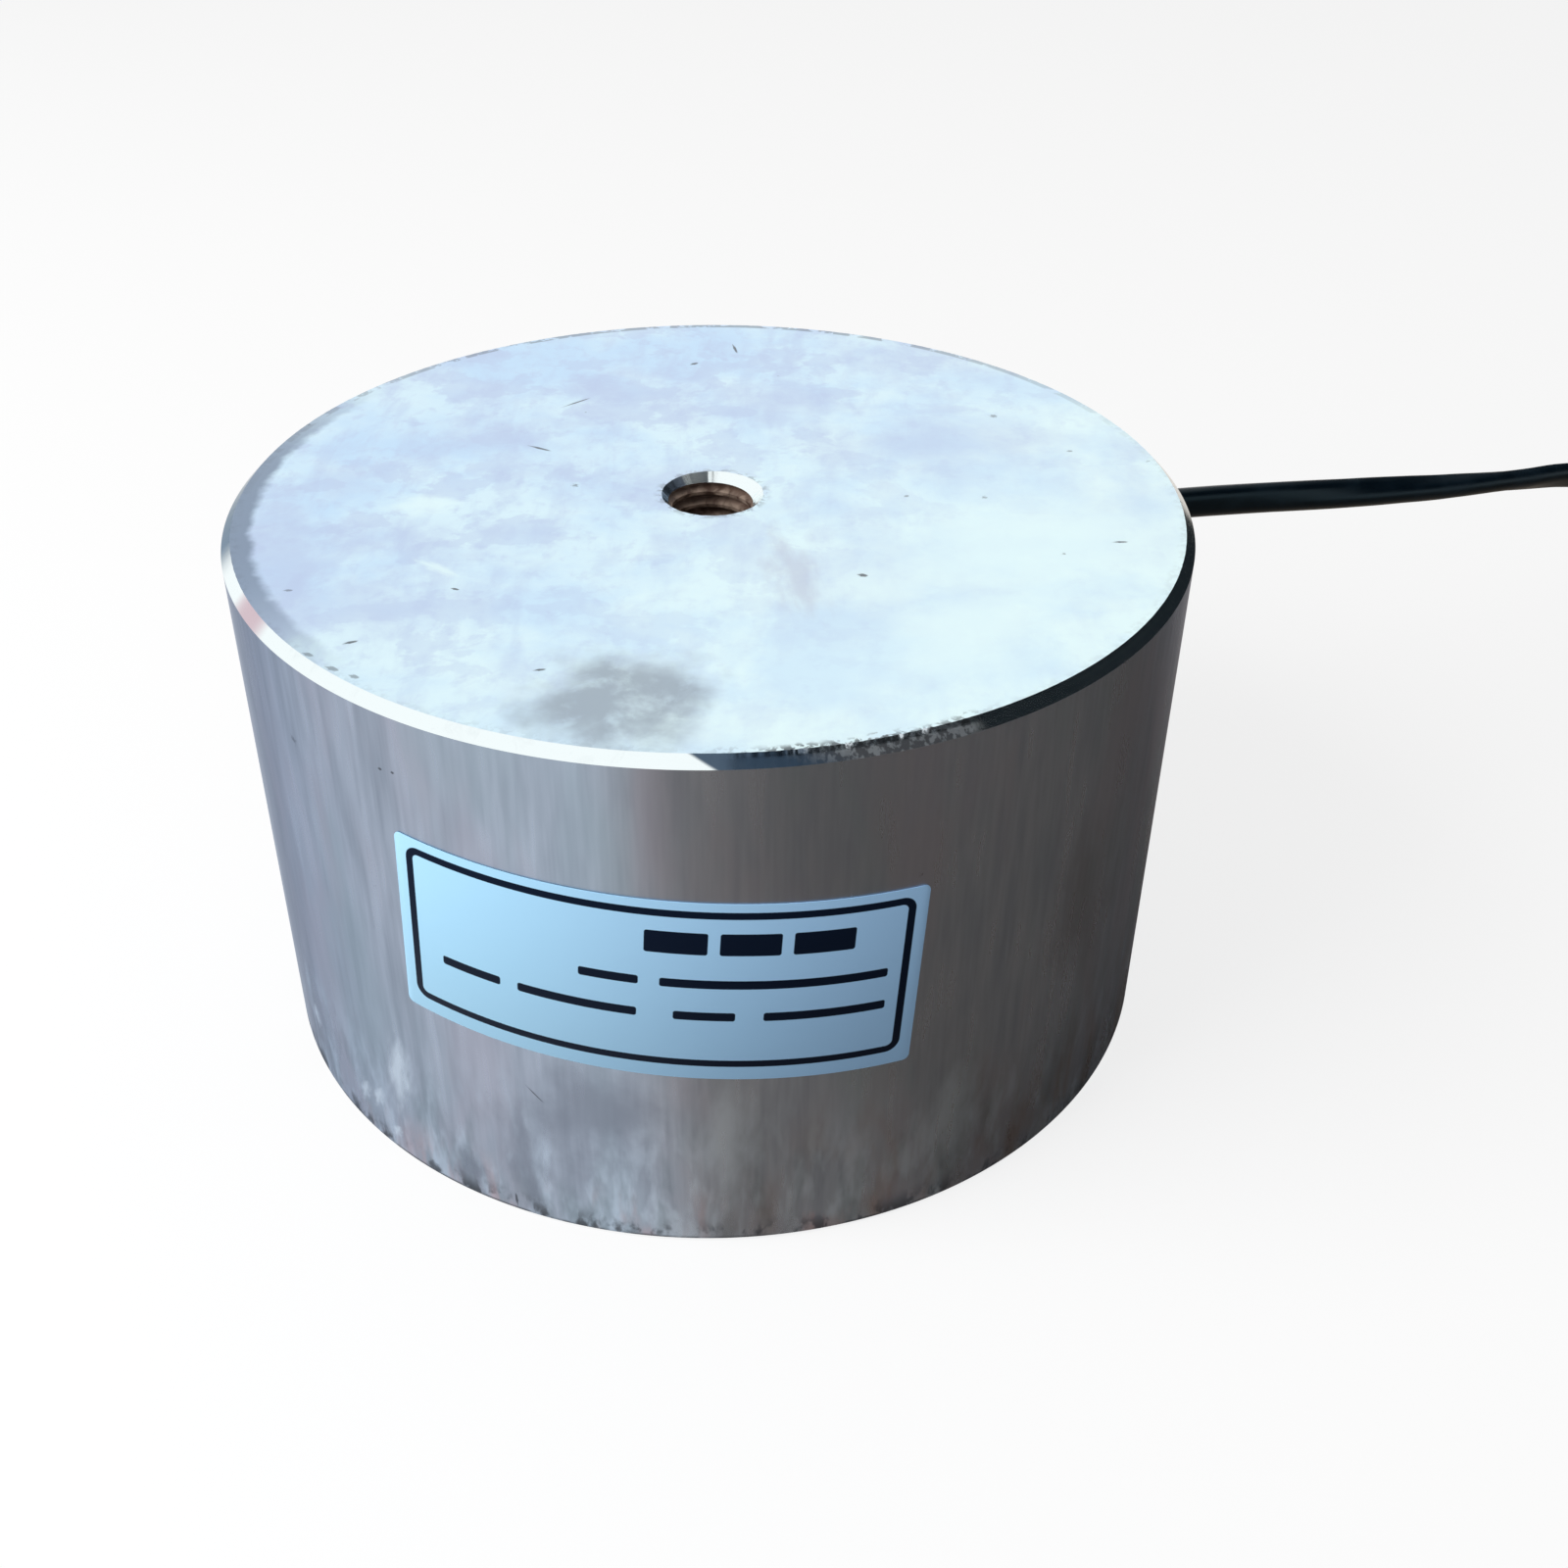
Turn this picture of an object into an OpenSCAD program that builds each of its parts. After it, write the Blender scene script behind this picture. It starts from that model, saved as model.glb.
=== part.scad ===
// Round holding electromagnet: a turned steel pot with a potted coil, a tapped back and a flat two-core lead.
// Origin at the middle of the holding face, +Z up to the tapped back face, the lead leaves along +X.

/* [Steel pot] */
// Outer diameter of the pot
body_d = 120; // [112:1:140]
// Height from the holding face to the back face
body_h = 70; // [64:1:90]
// Thickness of the back plate over the coil slot
back_t = 14; // [10:0.5:18]
// Thickness of the outer wall
wall_t = 8; // [6:0.5:10]
// Diameter of the centre pole
pole_d = 60; // [50:1:66]
// Chamfer round the back face
rim_chamfer = 1.2; // [0.6:0.1:2.4]
// Chamfer round the holding face
foot_chamfer = 0.4; // [0.2:0.1:1.2]

/* [Tapped hole] */
// Nominal diameter of the thread
thread_d = 12; // [8:1:16]
// Pitch of the thread
thread_pitch = 1.75; // [1:0.25:2]
// Depth of the tapped hole, down to where the drill point starts
thread_depth = 24; // [14:1:36]
// Width of the countersink's rim outside the thread
countersink_lip = 0.4; // [0.2:0.1:1]
// Point angle of the drill
drill_angle = 118; // [90:2:140]

/* [Coil] */
// Depth of resin between the holding face and the bobbin
resin_cover = 3; // [2:0.5:5]
// Height of the wiring space between the bobbin and the back plate
chamber_h = 7; // [6.5:0.5:9]
// Gap between the bobbin and the steel round it
bobbin_clear = 0.4; // [0.2:0.1:0.8]
// Wall of the bobbin's tube
bobbin_wall = 1.4; // [1:0.1:2]
// Thickness of each bobbin flange
flange_t = 1.6; // [1.2:0.1:2.4]
// How far the flanges stand out past the wrapped winding
flange_lip = 2.8; // [1.5:0.1:4]
// Thickness of the insulating wrap
wrap_t = 0.4; // [0.2:0.1:0.8]
// Diameter of the winding's end tails
tail_d = 0.9; // [0.6:0.1:1.2]
// Clearance of a tail in its hole through the flange
tail_clear = 0.3; // [0.1:0.05:0.5]

/* [Lead] */
// Width of the flat lead
lead_w = 4.6; // [4:0.1:4.8]
// Thickness of the flat lead
lead_t = 3.2; // [2.8:0.1:3.4]
// Diameter of one insulated core
core_d = 1.3; // [1:0.05:1.3]
// Length of sheath that reaches into the wiring space
sheath_in = 5; // [3:0.5:6]
// Rubber between the lead's edge and the hole in the wall
grommet_wall = 0.9; // [0.6:0.1:1]
// Gap between the lead and the grommet's bore
lead_clear = 0.1; // [0.05:0.05:0.2]
// Width of the grommet's flange outside the hole
grommet_lip = 1.6; // [1:0.1:2.4]
// Thickness of the grommet's flange at its edge
grommet_t = 1.4; // [1:0.1:2]
// Length of the grommet's tapered nose
nose_l = 9; // [6:0.5:10]
// Rubber round the lead's edge at the nose's tip
nose_wall = 0.6; // [0.4:0.1:0.8]

/* [Splices] */
// Outer diameter of a splice sleeve
sleeve_d = 3; // [2.4:0.1:3.4]
// Length of a splice sleeve
sleeve_l = 14; // [10:0.5:16]
// Angle of each splice from the lead
splice_turn = 40; // [36:1:50]
// Angle of each tail's flange hole from the lead
tail_turn = 70; // [66:1:90]

/* [Label] */
// Width of the label along the wall
label_w = 60.5; // [40:0.5:80]
// Height of the label
label_h = 25; // [16:0.5:40]
// Thickness of the label
label_t = 0.15; // [0.1:0.05:0.4]
// Radius of the label's corners
label_corner = 0.8; // [0.5:0.1:4]
// Height of the label's middle
label_z = 39.9; // [32:0.1:42]
// Angle of the label's middle from the lead
label_turn = -122.5; // [-150:0.5:-90]
// How far the label's right side hangs down, in degrees
label_tilt = 3.2; // [-5:0.1:5]

/* [Stored lead] */
// Diameter of the stored coil at the middle of its turns
coil_d = 50; // [46:1:55]
// Room round each turn of the coil
coil_slack = 0.2; // [0.1:0.05:0.3]
// Thickness of the tie's strip
tie_t = 0.5; // [0.3:0.1:0.8]
// Width of the tie's strip
tie_w = 6; // [4:0.5:10]
// Length of the stripped cores at the free end
strip_l = 24; // [16:1:30]
// Length of the tinned strands at the free end
strand_l = 7; // [4:0.5:10]
// Diameter of the tinned strands
strand_d = 0.8; // [0.5:0.05:0.9]

/* [Hidden] */
$fn = 96;
wire_sides = 8;
// Spare length that carries a cut clear of a face
over = 1;

// Steel pot
body_r = body_d / 2;
pole_r = pole_d / 2;
slot_r = body_r - wall_t;
slot_top = body_h - back_t;
drill_r = (thread_d - thread_pitch) / 2;
countersink_r = thread_d / 2 + countersink_lip;
countersink_h = countersink_r - drill_r;
hole_floor = body_h - thread_depth;
point_h = drill_r / tan(drill_angle / 2);

// Bobbin and winding
bobbin_in = pole_r + bobbin_clear;
bobbin_out = slot_r - bobbin_clear;
bobbin_low = resin_cover;
bobbin_top = slot_top - chamber_h;
winding_in = bobbin_in + bobbin_wall;
wrap_out = bobbin_out - flange_lip;
winding_out = wrap_out - wrap_t;
winding_low = bobbin_low + flange_t;
winding_top = bobbin_top - flange_t;

// Lead exit, in the middle of the wiring space
lead_z = slot_top - chamber_h / 2;
hole_r = lead_w / 2 + grommet_wall;
core_off = (lead_w - lead_t) / 2;
sheath_end = slot_r - sheath_in;

// Splices and tails: side 1 carries the red core and the finish tail, side -1 the black core and the start tail
splice_r = (pole_r + slot_r) / 2;
entry_l = sleeve_l / 2 + 4;
run_r = norm([splice_r, entry_l]);
entry_turn = splice_turn - atan2(entry_l, splice_r);
leave_l = sleeve_l / 2 + 2;
leave_r = norm([splice_r, leave_l]);
leave_turn = splice_turn + atan2(leave_l, splice_r);
tail_step = tail_d / 2 + 0.5;
start_r = winding_in + tail_step;
finish_r = winding_out - tail_step;

// Stored coil: one turn on the floor and half a turn on top of it, beyond the end of the lead's run
coil_gap = 190;
stub_l = 15;
coil_pos = [body_r + coil_gap, -coil_d / 2];
turn_w = lead_t + 2 * coil_slack;
turn_h = lead_w + 2 * coil_slack;
turn_in = (coil_d - turn_w) / 2;
low_z = tie_t + turn_h / 2;
high_z = low_z + turn_h;
climb_turn = 40;

// Run of the lead: distance from the wall, share of the exit height, roll of the flat section
lead_run = [
    [4, 1, 90], [10, 1, 90], [14, 0.998, 90], [20, 0.982, 88], [30, 0.95, 80],
    [40, 0.916, 70], [50, 0.882, 54], [60, 0.85, 34], [70, 0.818, 12], [80, 0.79, -12],
    [90, 0.762, -36], [100, 0.736, -60], [110, 0.69, -80], [120, 0.605, -90], [130, 0.47, -90],
    [140, 0.31, -90], [150, 0.16, -90], [160, 0.045, -90], [168, 0, -90], [175, 0, -90]
];
lead_inside = [for (x = [sheath_end, slot_r, body_r]) [x, 0, lead_z]];
lead_points = concat(lead_inside, [for (p = lead_run) [body_r + p[0], 0, low_z + p[1] * (lead_z - low_z)]]);
lead_rolls = concat([for (p = lead_inside) 90], [for (p = lead_run) p[2]]);

// Tail of the lead beyond the coil: distance back from the coil's middle, height share, roll
tail_run = [[15, 1, 90], [20, 1, 84], [30, 0.6, 50], [40, 0.1, 8], [46, 0, 0], [50, 0, 0]];
tail_points = [for (p = tail_run)
    [coil_pos[0] - p[0], -coil_d, lead_t / 2 + p[1] * (high_z - lead_t / 2)]];
tail_rolls = [for (p = tail_run) p[2]];
lead_end = tail_points[len(tail_points) - 1];

// Vectors and swept tubes
function unit(v) = v / norm(v);
function square_to(v, d) = unit(v - (v * d) * d);
function polar(r, turn, z) = [r * cos(turn), r * sin(turn), z];
function heading(path, i) = unit(path[min(i + 1, len(path) - 1)] - path[max(i - 1, 0)]);

// The side direction of each ring, carried along the path without twist
function sides(path, first) = [
    for (i = 0, s = square_to(first, heading(path, 0));
         i < len(path);
         i = i + 1, s = square_to(s, heading(path, min(i, len(path) - 1)))) s
];

// A round section, and a flat section with round ends that has its width along the first axis
function round_section(d) = [for (k = [0:wire_sides - 1]) d / 2 * [cos(k * 360 / wire_sides), sin(k * 360 / wire_sides)]];
function flat_section(w, t) = [
    for (end = [0, 180], a = [-90:36:90])
        [(w - t) / 2 * cos(end) + t / 2 * cos(end + a), t / 2 * sin(end + a)]
];

// One closed tube: the section is set square to the path at each of its points and rolled there
module tube(path, section, first, rolls) {
    n = len(section);
    last = len(path) - 1;
    side = sides(path, first);
    points = [
        for (i = [0:last], q = section)
            let (
                up = cross(heading(path, i), side[i]),
                x = q[0] * cos(rolls[i]) - q[1] * sin(rolls[i]),
                y = q[0] * sin(rolls[i]) + q[1] * cos(rolls[i])
            )
            path[i] + x * side[i] + y * up
    ];
    walls = [
        for (i = [0:last - 1], k = [0:n - 1], half = [0, 1])
            let (a = i * n + k, b = i * n + (k + 1) % n)
            half == 0 ? [a, a + n, b] : [b, a + n, b + n]
    ];
    caps = [[for (k = [0:n - 1]) k], [for (k = [n - 1:-1:0]) last * n + k]];
    polyhedron(points, concat(walls, caps));
}

module wire(path, d) {
    tube(path, round_section(d), [0, 0, 1], [for (p = path) 0]);
}

// A ring about the Z axis
module ring(r_in, r_out, low, high) {
    rotate_extrude()
        translate([r_in, low])
            square([r_out - r_in, high - low]);
}

// A flat bar with round ends along +X, with its width upright
module upright_bar(l, w, t) {
    rotate([0, 90, 0])
        linear_extrude(l) {
            square([w - t, t], center = true);
            for (s = [-1, 1])
                translate([s * (w - t) / 2, 0])
                    circle(d = t);
        }
}

// Wiring in the space over the bobbin
function splice_mid(side) = polar(splice_r, side * splice_turn, lead_z);
function splice_along(side) = side * [-sin(side * splice_turn), cos(side * splice_turn), 0];

function core_path(side) = concat(
    [for (back = [0, 2]) [sheath_end - back, 0, lead_z + side * core_off]],
    [for (k = [0.2, 0.45, 0.75])
        polar(run_r + (1 - k), side * k * entry_turn, lead_z + side * core_off * (1 - k))],
    [for (l = [entry_l, sleeve_l / 2, 0]) splice_mid(side) - l * splice_along(side)]
);

function tail_path(side, hole_r) = concat(
    [for (l = [0, sleeve_l / 2, leave_l]) splice_mid(side) + l * splice_along(side)],
    [for (k = [0.4, 0.75])
        polar(leave_r + k * (hole_r - leave_r), side * (leave_turn + k * (tail_turn - leave_turn)), lead_z - k)],
    [for (k = [0.75, 0.2])
        polar(hole_r, side * tail_turn, bobbin_top + k * (lead_z - 1 - bobbin_top))],
    [polar(hole_r, side * tail_turn, winding_top)]
);

module at_splice(side) {
    translate(splice_mid(side))
        rotate([0, 0, side * splice_turn])
            rotate([-90 * side, 0, 0])
                children();
}

module splice_outside(side) {
    at_splice(side)
        cylinder(d = sleeve_d, h = sleeve_l, center = true);
}

// The sleeve's bore is wide for the core and narrow for the winding's tail
module splice(side) {
    difference() {
        splice_outside(side);
        at_splice(side) {
            translate([0, 0, -sleeve_l / 2 - over])
                cylinder(d = core_d, h = sleeve_l / 2 + over);
            cylinder(d = tail_d, h = sleeve_l / 2 + over);
        }
    }
}

// Turned in one piece with the centre pole, then drilled and tapped from the back
module pot_yoke() {
    color([0.78, 0.80, 0.83])
        difference() {
            rotate_extrude()
                polygon([
                    [0, 0],
                    [pole_r, 0],
                    [pole_r, slot_top],
                    [slot_r, slot_top],
                    [slot_r, 0],
                    [body_r - foot_chamfer, 0],
                    [body_r, foot_chamfer],
                    [body_r, body_h - rim_chamfer],
                    [body_r - rim_chamfer, body_h],
                    [countersink_r, body_h],
                    [drill_r, body_h - countersink_h],
                    [drill_r, hole_floor],
                    [0, hole_floor - point_h]
                ]);
            translate([slot_r - over, 0, lead_z])
                rotate([0, 90, 0])
                    cylinder(r = hole_r, h = wall_t + 2 * over);
        }
}

module label_outline(w, h, r) {
    square([h, w - 2 * r], center = true);
    square([h - 2 * r, w], center = true);
    for (x = [-1, 1], y = [-1, 1])
        translate([x * (h / 2 - r), y * (w / 2 - r)])
            circle(r);
}

// Thin sticker that lies on the wall
module name_label() {
    chord_w = 2 * body_r * sin(label_w / body_r / 2 * 180 / PI);
    color([0.86, 0.92, 0.97])
        rotate([0, 0, label_turn])
            intersection() {
                ring(body_r, body_r + label_t, foot_chamfer, body_h - rim_chamfer);
                translate([0, 0, label_z])
                    rotate([-label_tilt, 0, 0])
                        rotate([0, 90, 0])
                            linear_extrude(body_d)
                                label_outline(chord_w, label_h, label_corner);
            }
}

// Rubber bush: a neck in the wall, a flange on the wall and a tapered nose round the lead
module lead_grommet() {
    flange_r = hole_r + grommet_lip;
    flange_x = body_r + grommet_t;
    tip_r = lead_w / 2 + nose_wall;
    color([0.09, 0.09, 0.10])
        difference() {
            translate([0, 0, lead_z])
                rotate([0, 90, 0])
                    rotate_extrude()
                        polygon([
                            [0, pole_r],
                            [hole_r, pole_r],
                            [hole_r, body_r - over],
                            [flange_r, body_r - over],
                            [flange_r, flange_x - grommet_t / 2],
                            [flange_r - grommet_t / 2, flange_x],
                            [hole_r, flange_x],
                            [tip_r, flange_x + nose_l],
                            [0, flange_x + nose_l]
                        ]);
            cylinder(r = slot_r, h = body_h);
            difference() {
                cylinder(r = body_r, h = body_h);
                translate([0, 0, lead_z])
                    rotate([0, 90, 0])
                        cylinder(r = hole_r, h = body_d);
            }
            translate([0, 0, lead_z])
                upright_bar(body_d, lead_w + 2 * lead_clear, lead_t + 2 * lead_clear);
        }
}

// Moulded former with two flanges, and a hole for each tail in the upper one
module coil_bobbin() {
    color([0.88, 0.87, 0.82])
        difference() {
            union() {
                ring(bobbin_in, winding_in, bobbin_low, bobbin_top);
                ring(bobbin_in, bobbin_out, bobbin_low, winding_low);
                ring(bobbin_in, bobbin_out, winding_top, bobbin_top);
            }
            for (place = [[1, finish_r], [-1, start_r]])
                translate(polar(place[1], place[0] * tail_turn, winding_top - over))
                    cylinder(d = tail_d + 2 * tail_clear, h = flange_t + 2 * over);
        }
}

module coil_winding() {
    color([0.72, 0.40, 0.20])
        ring(winding_in, winding_out, winding_low, winding_top);
}

module winding_wrap() {
    color([0.90, 0.75, 0.25])
        ring(winding_out, wrap_out, winding_low, winding_top);
}

module tail_start() {
    color([0.70, 0.38, 0.18])
        wire(tail_path(-1, start_r), tail_d);
}

module tail_finish() {
    color([0.70, 0.38, 0.18])
        wire(tail_path(1, finish_r), tail_d);
}

module splice_start() {
    color([0.15, 0.15, 0.17])
        splice(-1);
}

module splice_finish() {
    color([0.15, 0.15, 0.17])
        splice(1);
}

module core_black() {
    color([0.08, 0.08, 0.09])
        wire(core_path(-1), core_d);
}

module core_red() {
    color([0.70, 0.08, 0.07])
        wire(core_path(1), core_d);
}

// Cast in place: it fills the slot round everything else, flush with the holding face
module potting_resin() {
    color([0.16, 0.15, 0.14])
        difference() {
            ring(pole_r, slot_r, 0, slot_top);
            coil_bobbin();
            coil_winding();
            winding_wrap();
            tail_start();
            tail_finish();
            for (side = [-1, 1])
                splice_outside(side);
            core_black();
            core_red();
            lead_flex();
        }
}

module lead_flex() {
    color([0.07, 0.08, 0.09])
        tube(lead_points, flat_section(lead_w, lead_t), [0, 1, 0], lead_rolls);
}

// Outer shape of the stored coil, with the straight ends by which the lead comes and goes
module lead_coil() {
    color([0.07, 0.08, 0.09])
        translate([coil_pos[0], coil_pos[1], 0]) {
            ring(turn_in, turn_in + turn_w, tie_t, tie_t + turn_h);
            rotate([0, 0, -90])
                rotate_extrude(angle = 180 + climb_turn)
                    translate([turn_in, tie_t + turn_h])
                        square([turn_w, turn_h]);
            for (place = [[1, low_z], [-1, high_z]])
                translate([-stub_l, place[0] * coil_d / 2, place[1]])
                    upright_bar(stub_l, lead_w, lead_t);
        }
}

module lead_tail() {
    color([0.07, 0.08, 0.09])
        tube(tail_points, flat_section(lead_w, lead_t), [0, -1, 0], tail_rolls);
}

// Strip tie round both layers of the coil
module lead_tie() {
    tie_turn = tie_w / coil_d * 360 / PI;
    color([0.75, 0.75, 0.73])
        translate([coil_pos[0], coil_pos[1], 0])
            rotate([0, 0, -tie_turn / 2])
                rotate_extrude(angle = tie_turn)
                    translate([turn_in, tie_t])
                        difference() {
                            translate([-tie_t, -tie_t])
                                square([turn_w + 2 * tie_t, 2 * (turn_h + tie_t)]);
                            square([turn_w, 2 * turn_h]);
                        }
}

// The stripped cores spread and settle on the floor
function end_core_path(side) = [
    for (k = [0, 0.1, 0.35, 0.65, 0.9, 1])
        let (t = max(0, k - 0.1) / 0.9, spread = t * t * (3 - 2 * t))
        lead_end + [-k * strip_l, side * (core_off + 2 * spread), -spread * (lead_t - core_d) / 2]
];

module end_core(side) {
    wire(end_core_path(side), core_d);
}

module end_strands(side) {
    path = end_core_path(side);
    tip = path[len(path) - 1];
    along = heading(path, len(path) - 1);
    wire([tip, tip + along * strand_l], strand_d);
}

module end_core_black() {
    color([0.08, 0.08, 0.09])
        end_core(-1);
}

module end_core_red() {
    color([0.70, 0.08, 0.07])
        end_core(1);
}

module end_strands_black() {
    color([0.80, 0.80, 0.80])
        end_strands(-1);
}

module end_strands_red() {
    color([0.80, 0.80, 0.80])
        end_strands(1);
}

pot_yoke();
name_label();
lead_grommet();
coil_bobbin();
coil_winding();
winding_wrap();
tail_start();
tail_finish();
splice_start();
splice_finish();
core_black();
core_red();
potting_resin();
lead_flex();
lead_coil();
lead_tail();
lead_tie();
end_core_black();
end_core_red();
end_strands_black();
end_strands_red();
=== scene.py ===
"""Looks of a round holding electromagnet: a turned steel pot, its label and its flat two-core lead.

Lengths are metres in the pot's own frame: the origin is the middle of the holding face, +Z goes up
out of the tapped hole and the lead leaves along +X. Materials count in millimetres.
"""
from math import atan2, ceil, cos, degrees, pi, radians, sin, tan, tau

import bmesh
import bpy
from mathutils import Matrix, Vector, noise


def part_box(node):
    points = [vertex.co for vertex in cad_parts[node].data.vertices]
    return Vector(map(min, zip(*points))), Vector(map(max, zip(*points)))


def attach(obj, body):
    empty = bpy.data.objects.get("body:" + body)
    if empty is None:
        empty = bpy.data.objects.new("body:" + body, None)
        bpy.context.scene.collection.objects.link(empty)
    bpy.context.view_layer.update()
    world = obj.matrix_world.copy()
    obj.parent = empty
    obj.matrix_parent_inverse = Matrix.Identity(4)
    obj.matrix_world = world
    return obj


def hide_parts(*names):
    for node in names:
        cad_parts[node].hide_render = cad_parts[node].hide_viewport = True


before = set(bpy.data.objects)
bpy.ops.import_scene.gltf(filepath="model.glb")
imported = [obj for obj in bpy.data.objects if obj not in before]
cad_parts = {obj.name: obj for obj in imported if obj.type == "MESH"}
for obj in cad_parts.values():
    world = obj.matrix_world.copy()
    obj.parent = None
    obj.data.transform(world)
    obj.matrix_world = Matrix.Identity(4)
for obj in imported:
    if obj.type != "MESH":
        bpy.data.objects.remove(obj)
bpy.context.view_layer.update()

MM = 0.001

# Steel pot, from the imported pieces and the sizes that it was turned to
BODY_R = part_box("pot_yoke")[1][0]
BODY_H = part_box("pot_yoke")[1][2]
SLOT_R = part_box("potting_resin")[1][0]
SLOT_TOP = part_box("potting_resin")[1][2]
POLE_R = 30 * MM
RIM_CHAMFER = 1.2 * MM
FOOT_CHAMFER = 0.4 * MM
EDGE_BREAK = 0.1 * MM
BODY_STEPS = 1440

# Nicks in the rim
NICK_TURN = radians(-101)
NICK_SPREAD = radians(13)
NICK_DEPTH = 0.45 * MM
NICK_SIZE = 0.5 * MM
WORN_EDGE = 0.45 * MM
WEAR_DEPTH = 0.05 * MM
EDGE_REACH = 0.3 * MM

# Tapped hole
THREAD_R = 6 * MM
THREAD_PITCH = 1.75 * MM
THREAD_DEPTH = 24 * MM
DRILL_R = THREAD_R - THREAD_PITCH / 2
DRILL_ANGLE = radians(118)
COUNTERSINK_R = THREAD_R + 0.4 * MM
CHATTER_SIZE = 0.9 * MM
CHATTER_DEPTH = 0.12 * MM
THREAD_STEPS = 72

# Label
LABEL_W = 60.5 * MM
LABEL_H = 25 * MM
LABEL_T = 0.15 * MM
LABEL_CORNER = 0.8 * MM
LABEL_EDGE = 0.04 * MM
LABEL_GAP = 0.01 * MM
LABEL_CUTS = 96
LABEL_Z = 39.9 * MM
LABEL_TURN = radians(-122.5)
LABEL_TILT = radians(3.2)

# Flat lead and its stored coil
LEAD_W = 4.6 * MM
LEAD_T = 3.2 * MM
LEAD_Z = 52.5 * MM
LEAD_HOLE_R = 3.2 * MM
LEAD_START = 47 * MM
CORE_D = 1.3 * MM
CORE_OFF = (LEAD_W - LEAD_T) / 2
COIL_R = 25 * MM
COIL_FIRST = 90
COIL_LAST = -450
COIL_STEP = 12
CLIMB_FIRST = -192
CLIMB_TURN = 50
COIL_X = BODY_R + 190 * MM
LOW_Z = 3 * MM
HIGH_Z = 8 * MM
STRIP_L = 24 * MM
STRAND_L = 7 * MM
STRAND_D = 0.8 * MM
STRAND_TWIST = 1.6
TIE_W = 6 * MM
TIE_T = 0.5 * MM
UV_LENGTH = 10 * MM
TURN_W = 3.6 * MM
TURN_H = 5 * MM

# Distance from the wall in millimetres, share of the exit height, roll of the flat section in degrees
LEAD_RUN = [
    (4, 1, 90), (10, 1, 90), (14, 0.998, 90), (20, 0.982, 88), (30, 0.95, 80),
    (40, 0.916, 70), (50, 0.882, 54), (60, 0.85, 34), (70, 0.818, 12), (80, 0.79, -12),
    (90, 0.762, -36), (100, 0.736, -60), (110, 0.69, -80), (120, 0.605, -90), (130, 0.47, -90),
    (140, 0.31, -90), (150, 0.16, -90), (160, 0.045, -90), (168, 0, -90), (175, 0, -90),
]
# Distance back from the coil's middle in millimetres, height share, roll in degrees
TAIL_RUN = [(15, 1, -90), (20, 1, -96), (30, 0.6, -130), (40, 0.1, -172), (46, 0, -180), (50, 0, -180)]


# Camera

PHOTO_AZIMUTH = radians(-28)
PHOTO_ELEVATION = radians(34.88)
PHOTO_ROLL = radians(0.756)
PHOTO_DISTANCE = 248.7 * MM
PHOTO_ASIDE = 9.49 * MM
PHOTO_AIM_Z = 25.48 * MM
LENS = 40.71
SENSOR = 36


def bearing(turn, elevation=0.0):
    """Unit vector towards the viewer's side of the pot at an azimuth, zero looking along +Y."""
    flat = cos(elevation)
    return Vector((sin(turn) * flat, -cos(turn) * flat, sin(elevation)))


def make_camera():
    aside = Vector((cos(PHOTO_AZIMUTH), sin(PHOTO_AZIMUTH), 0)) * PHOTO_ASIDE
    aim = aside + Vector((0, 0, PHOTO_AIM_Z))
    back = bearing(PHOTO_AZIMUTH, PHOTO_ELEVATION)
    lens = bpy.data.cameras.new("photo_lens")
    lens.lens = LENS
    lens.sensor_width = SENSOR
    camera = bpy.data.objects.new("photo_camera", lens)
    look = (-back).to_track_quat("-Z", "Y").to_matrix() @ Matrix.Rotation(PHOTO_ROLL, 3, "Z")
    camera.matrix_world = Matrix.Translation(aim + back * PHOTO_DISTANCE) @ look.to_4x4()
    bpy.context.scene.collection.objects.link(camera)
    bpy.context.scene.camera = camera


# Node trees

CLEAR = (0.0, 0.0, 0.0)
LEVEL = (1.0, 1.0, 0.0)


def rgb(red, green, blue):
    return (red, green, blue, 1.0)


PURE_WHITE = rgb(1.0, 1.0, 1.0)


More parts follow.
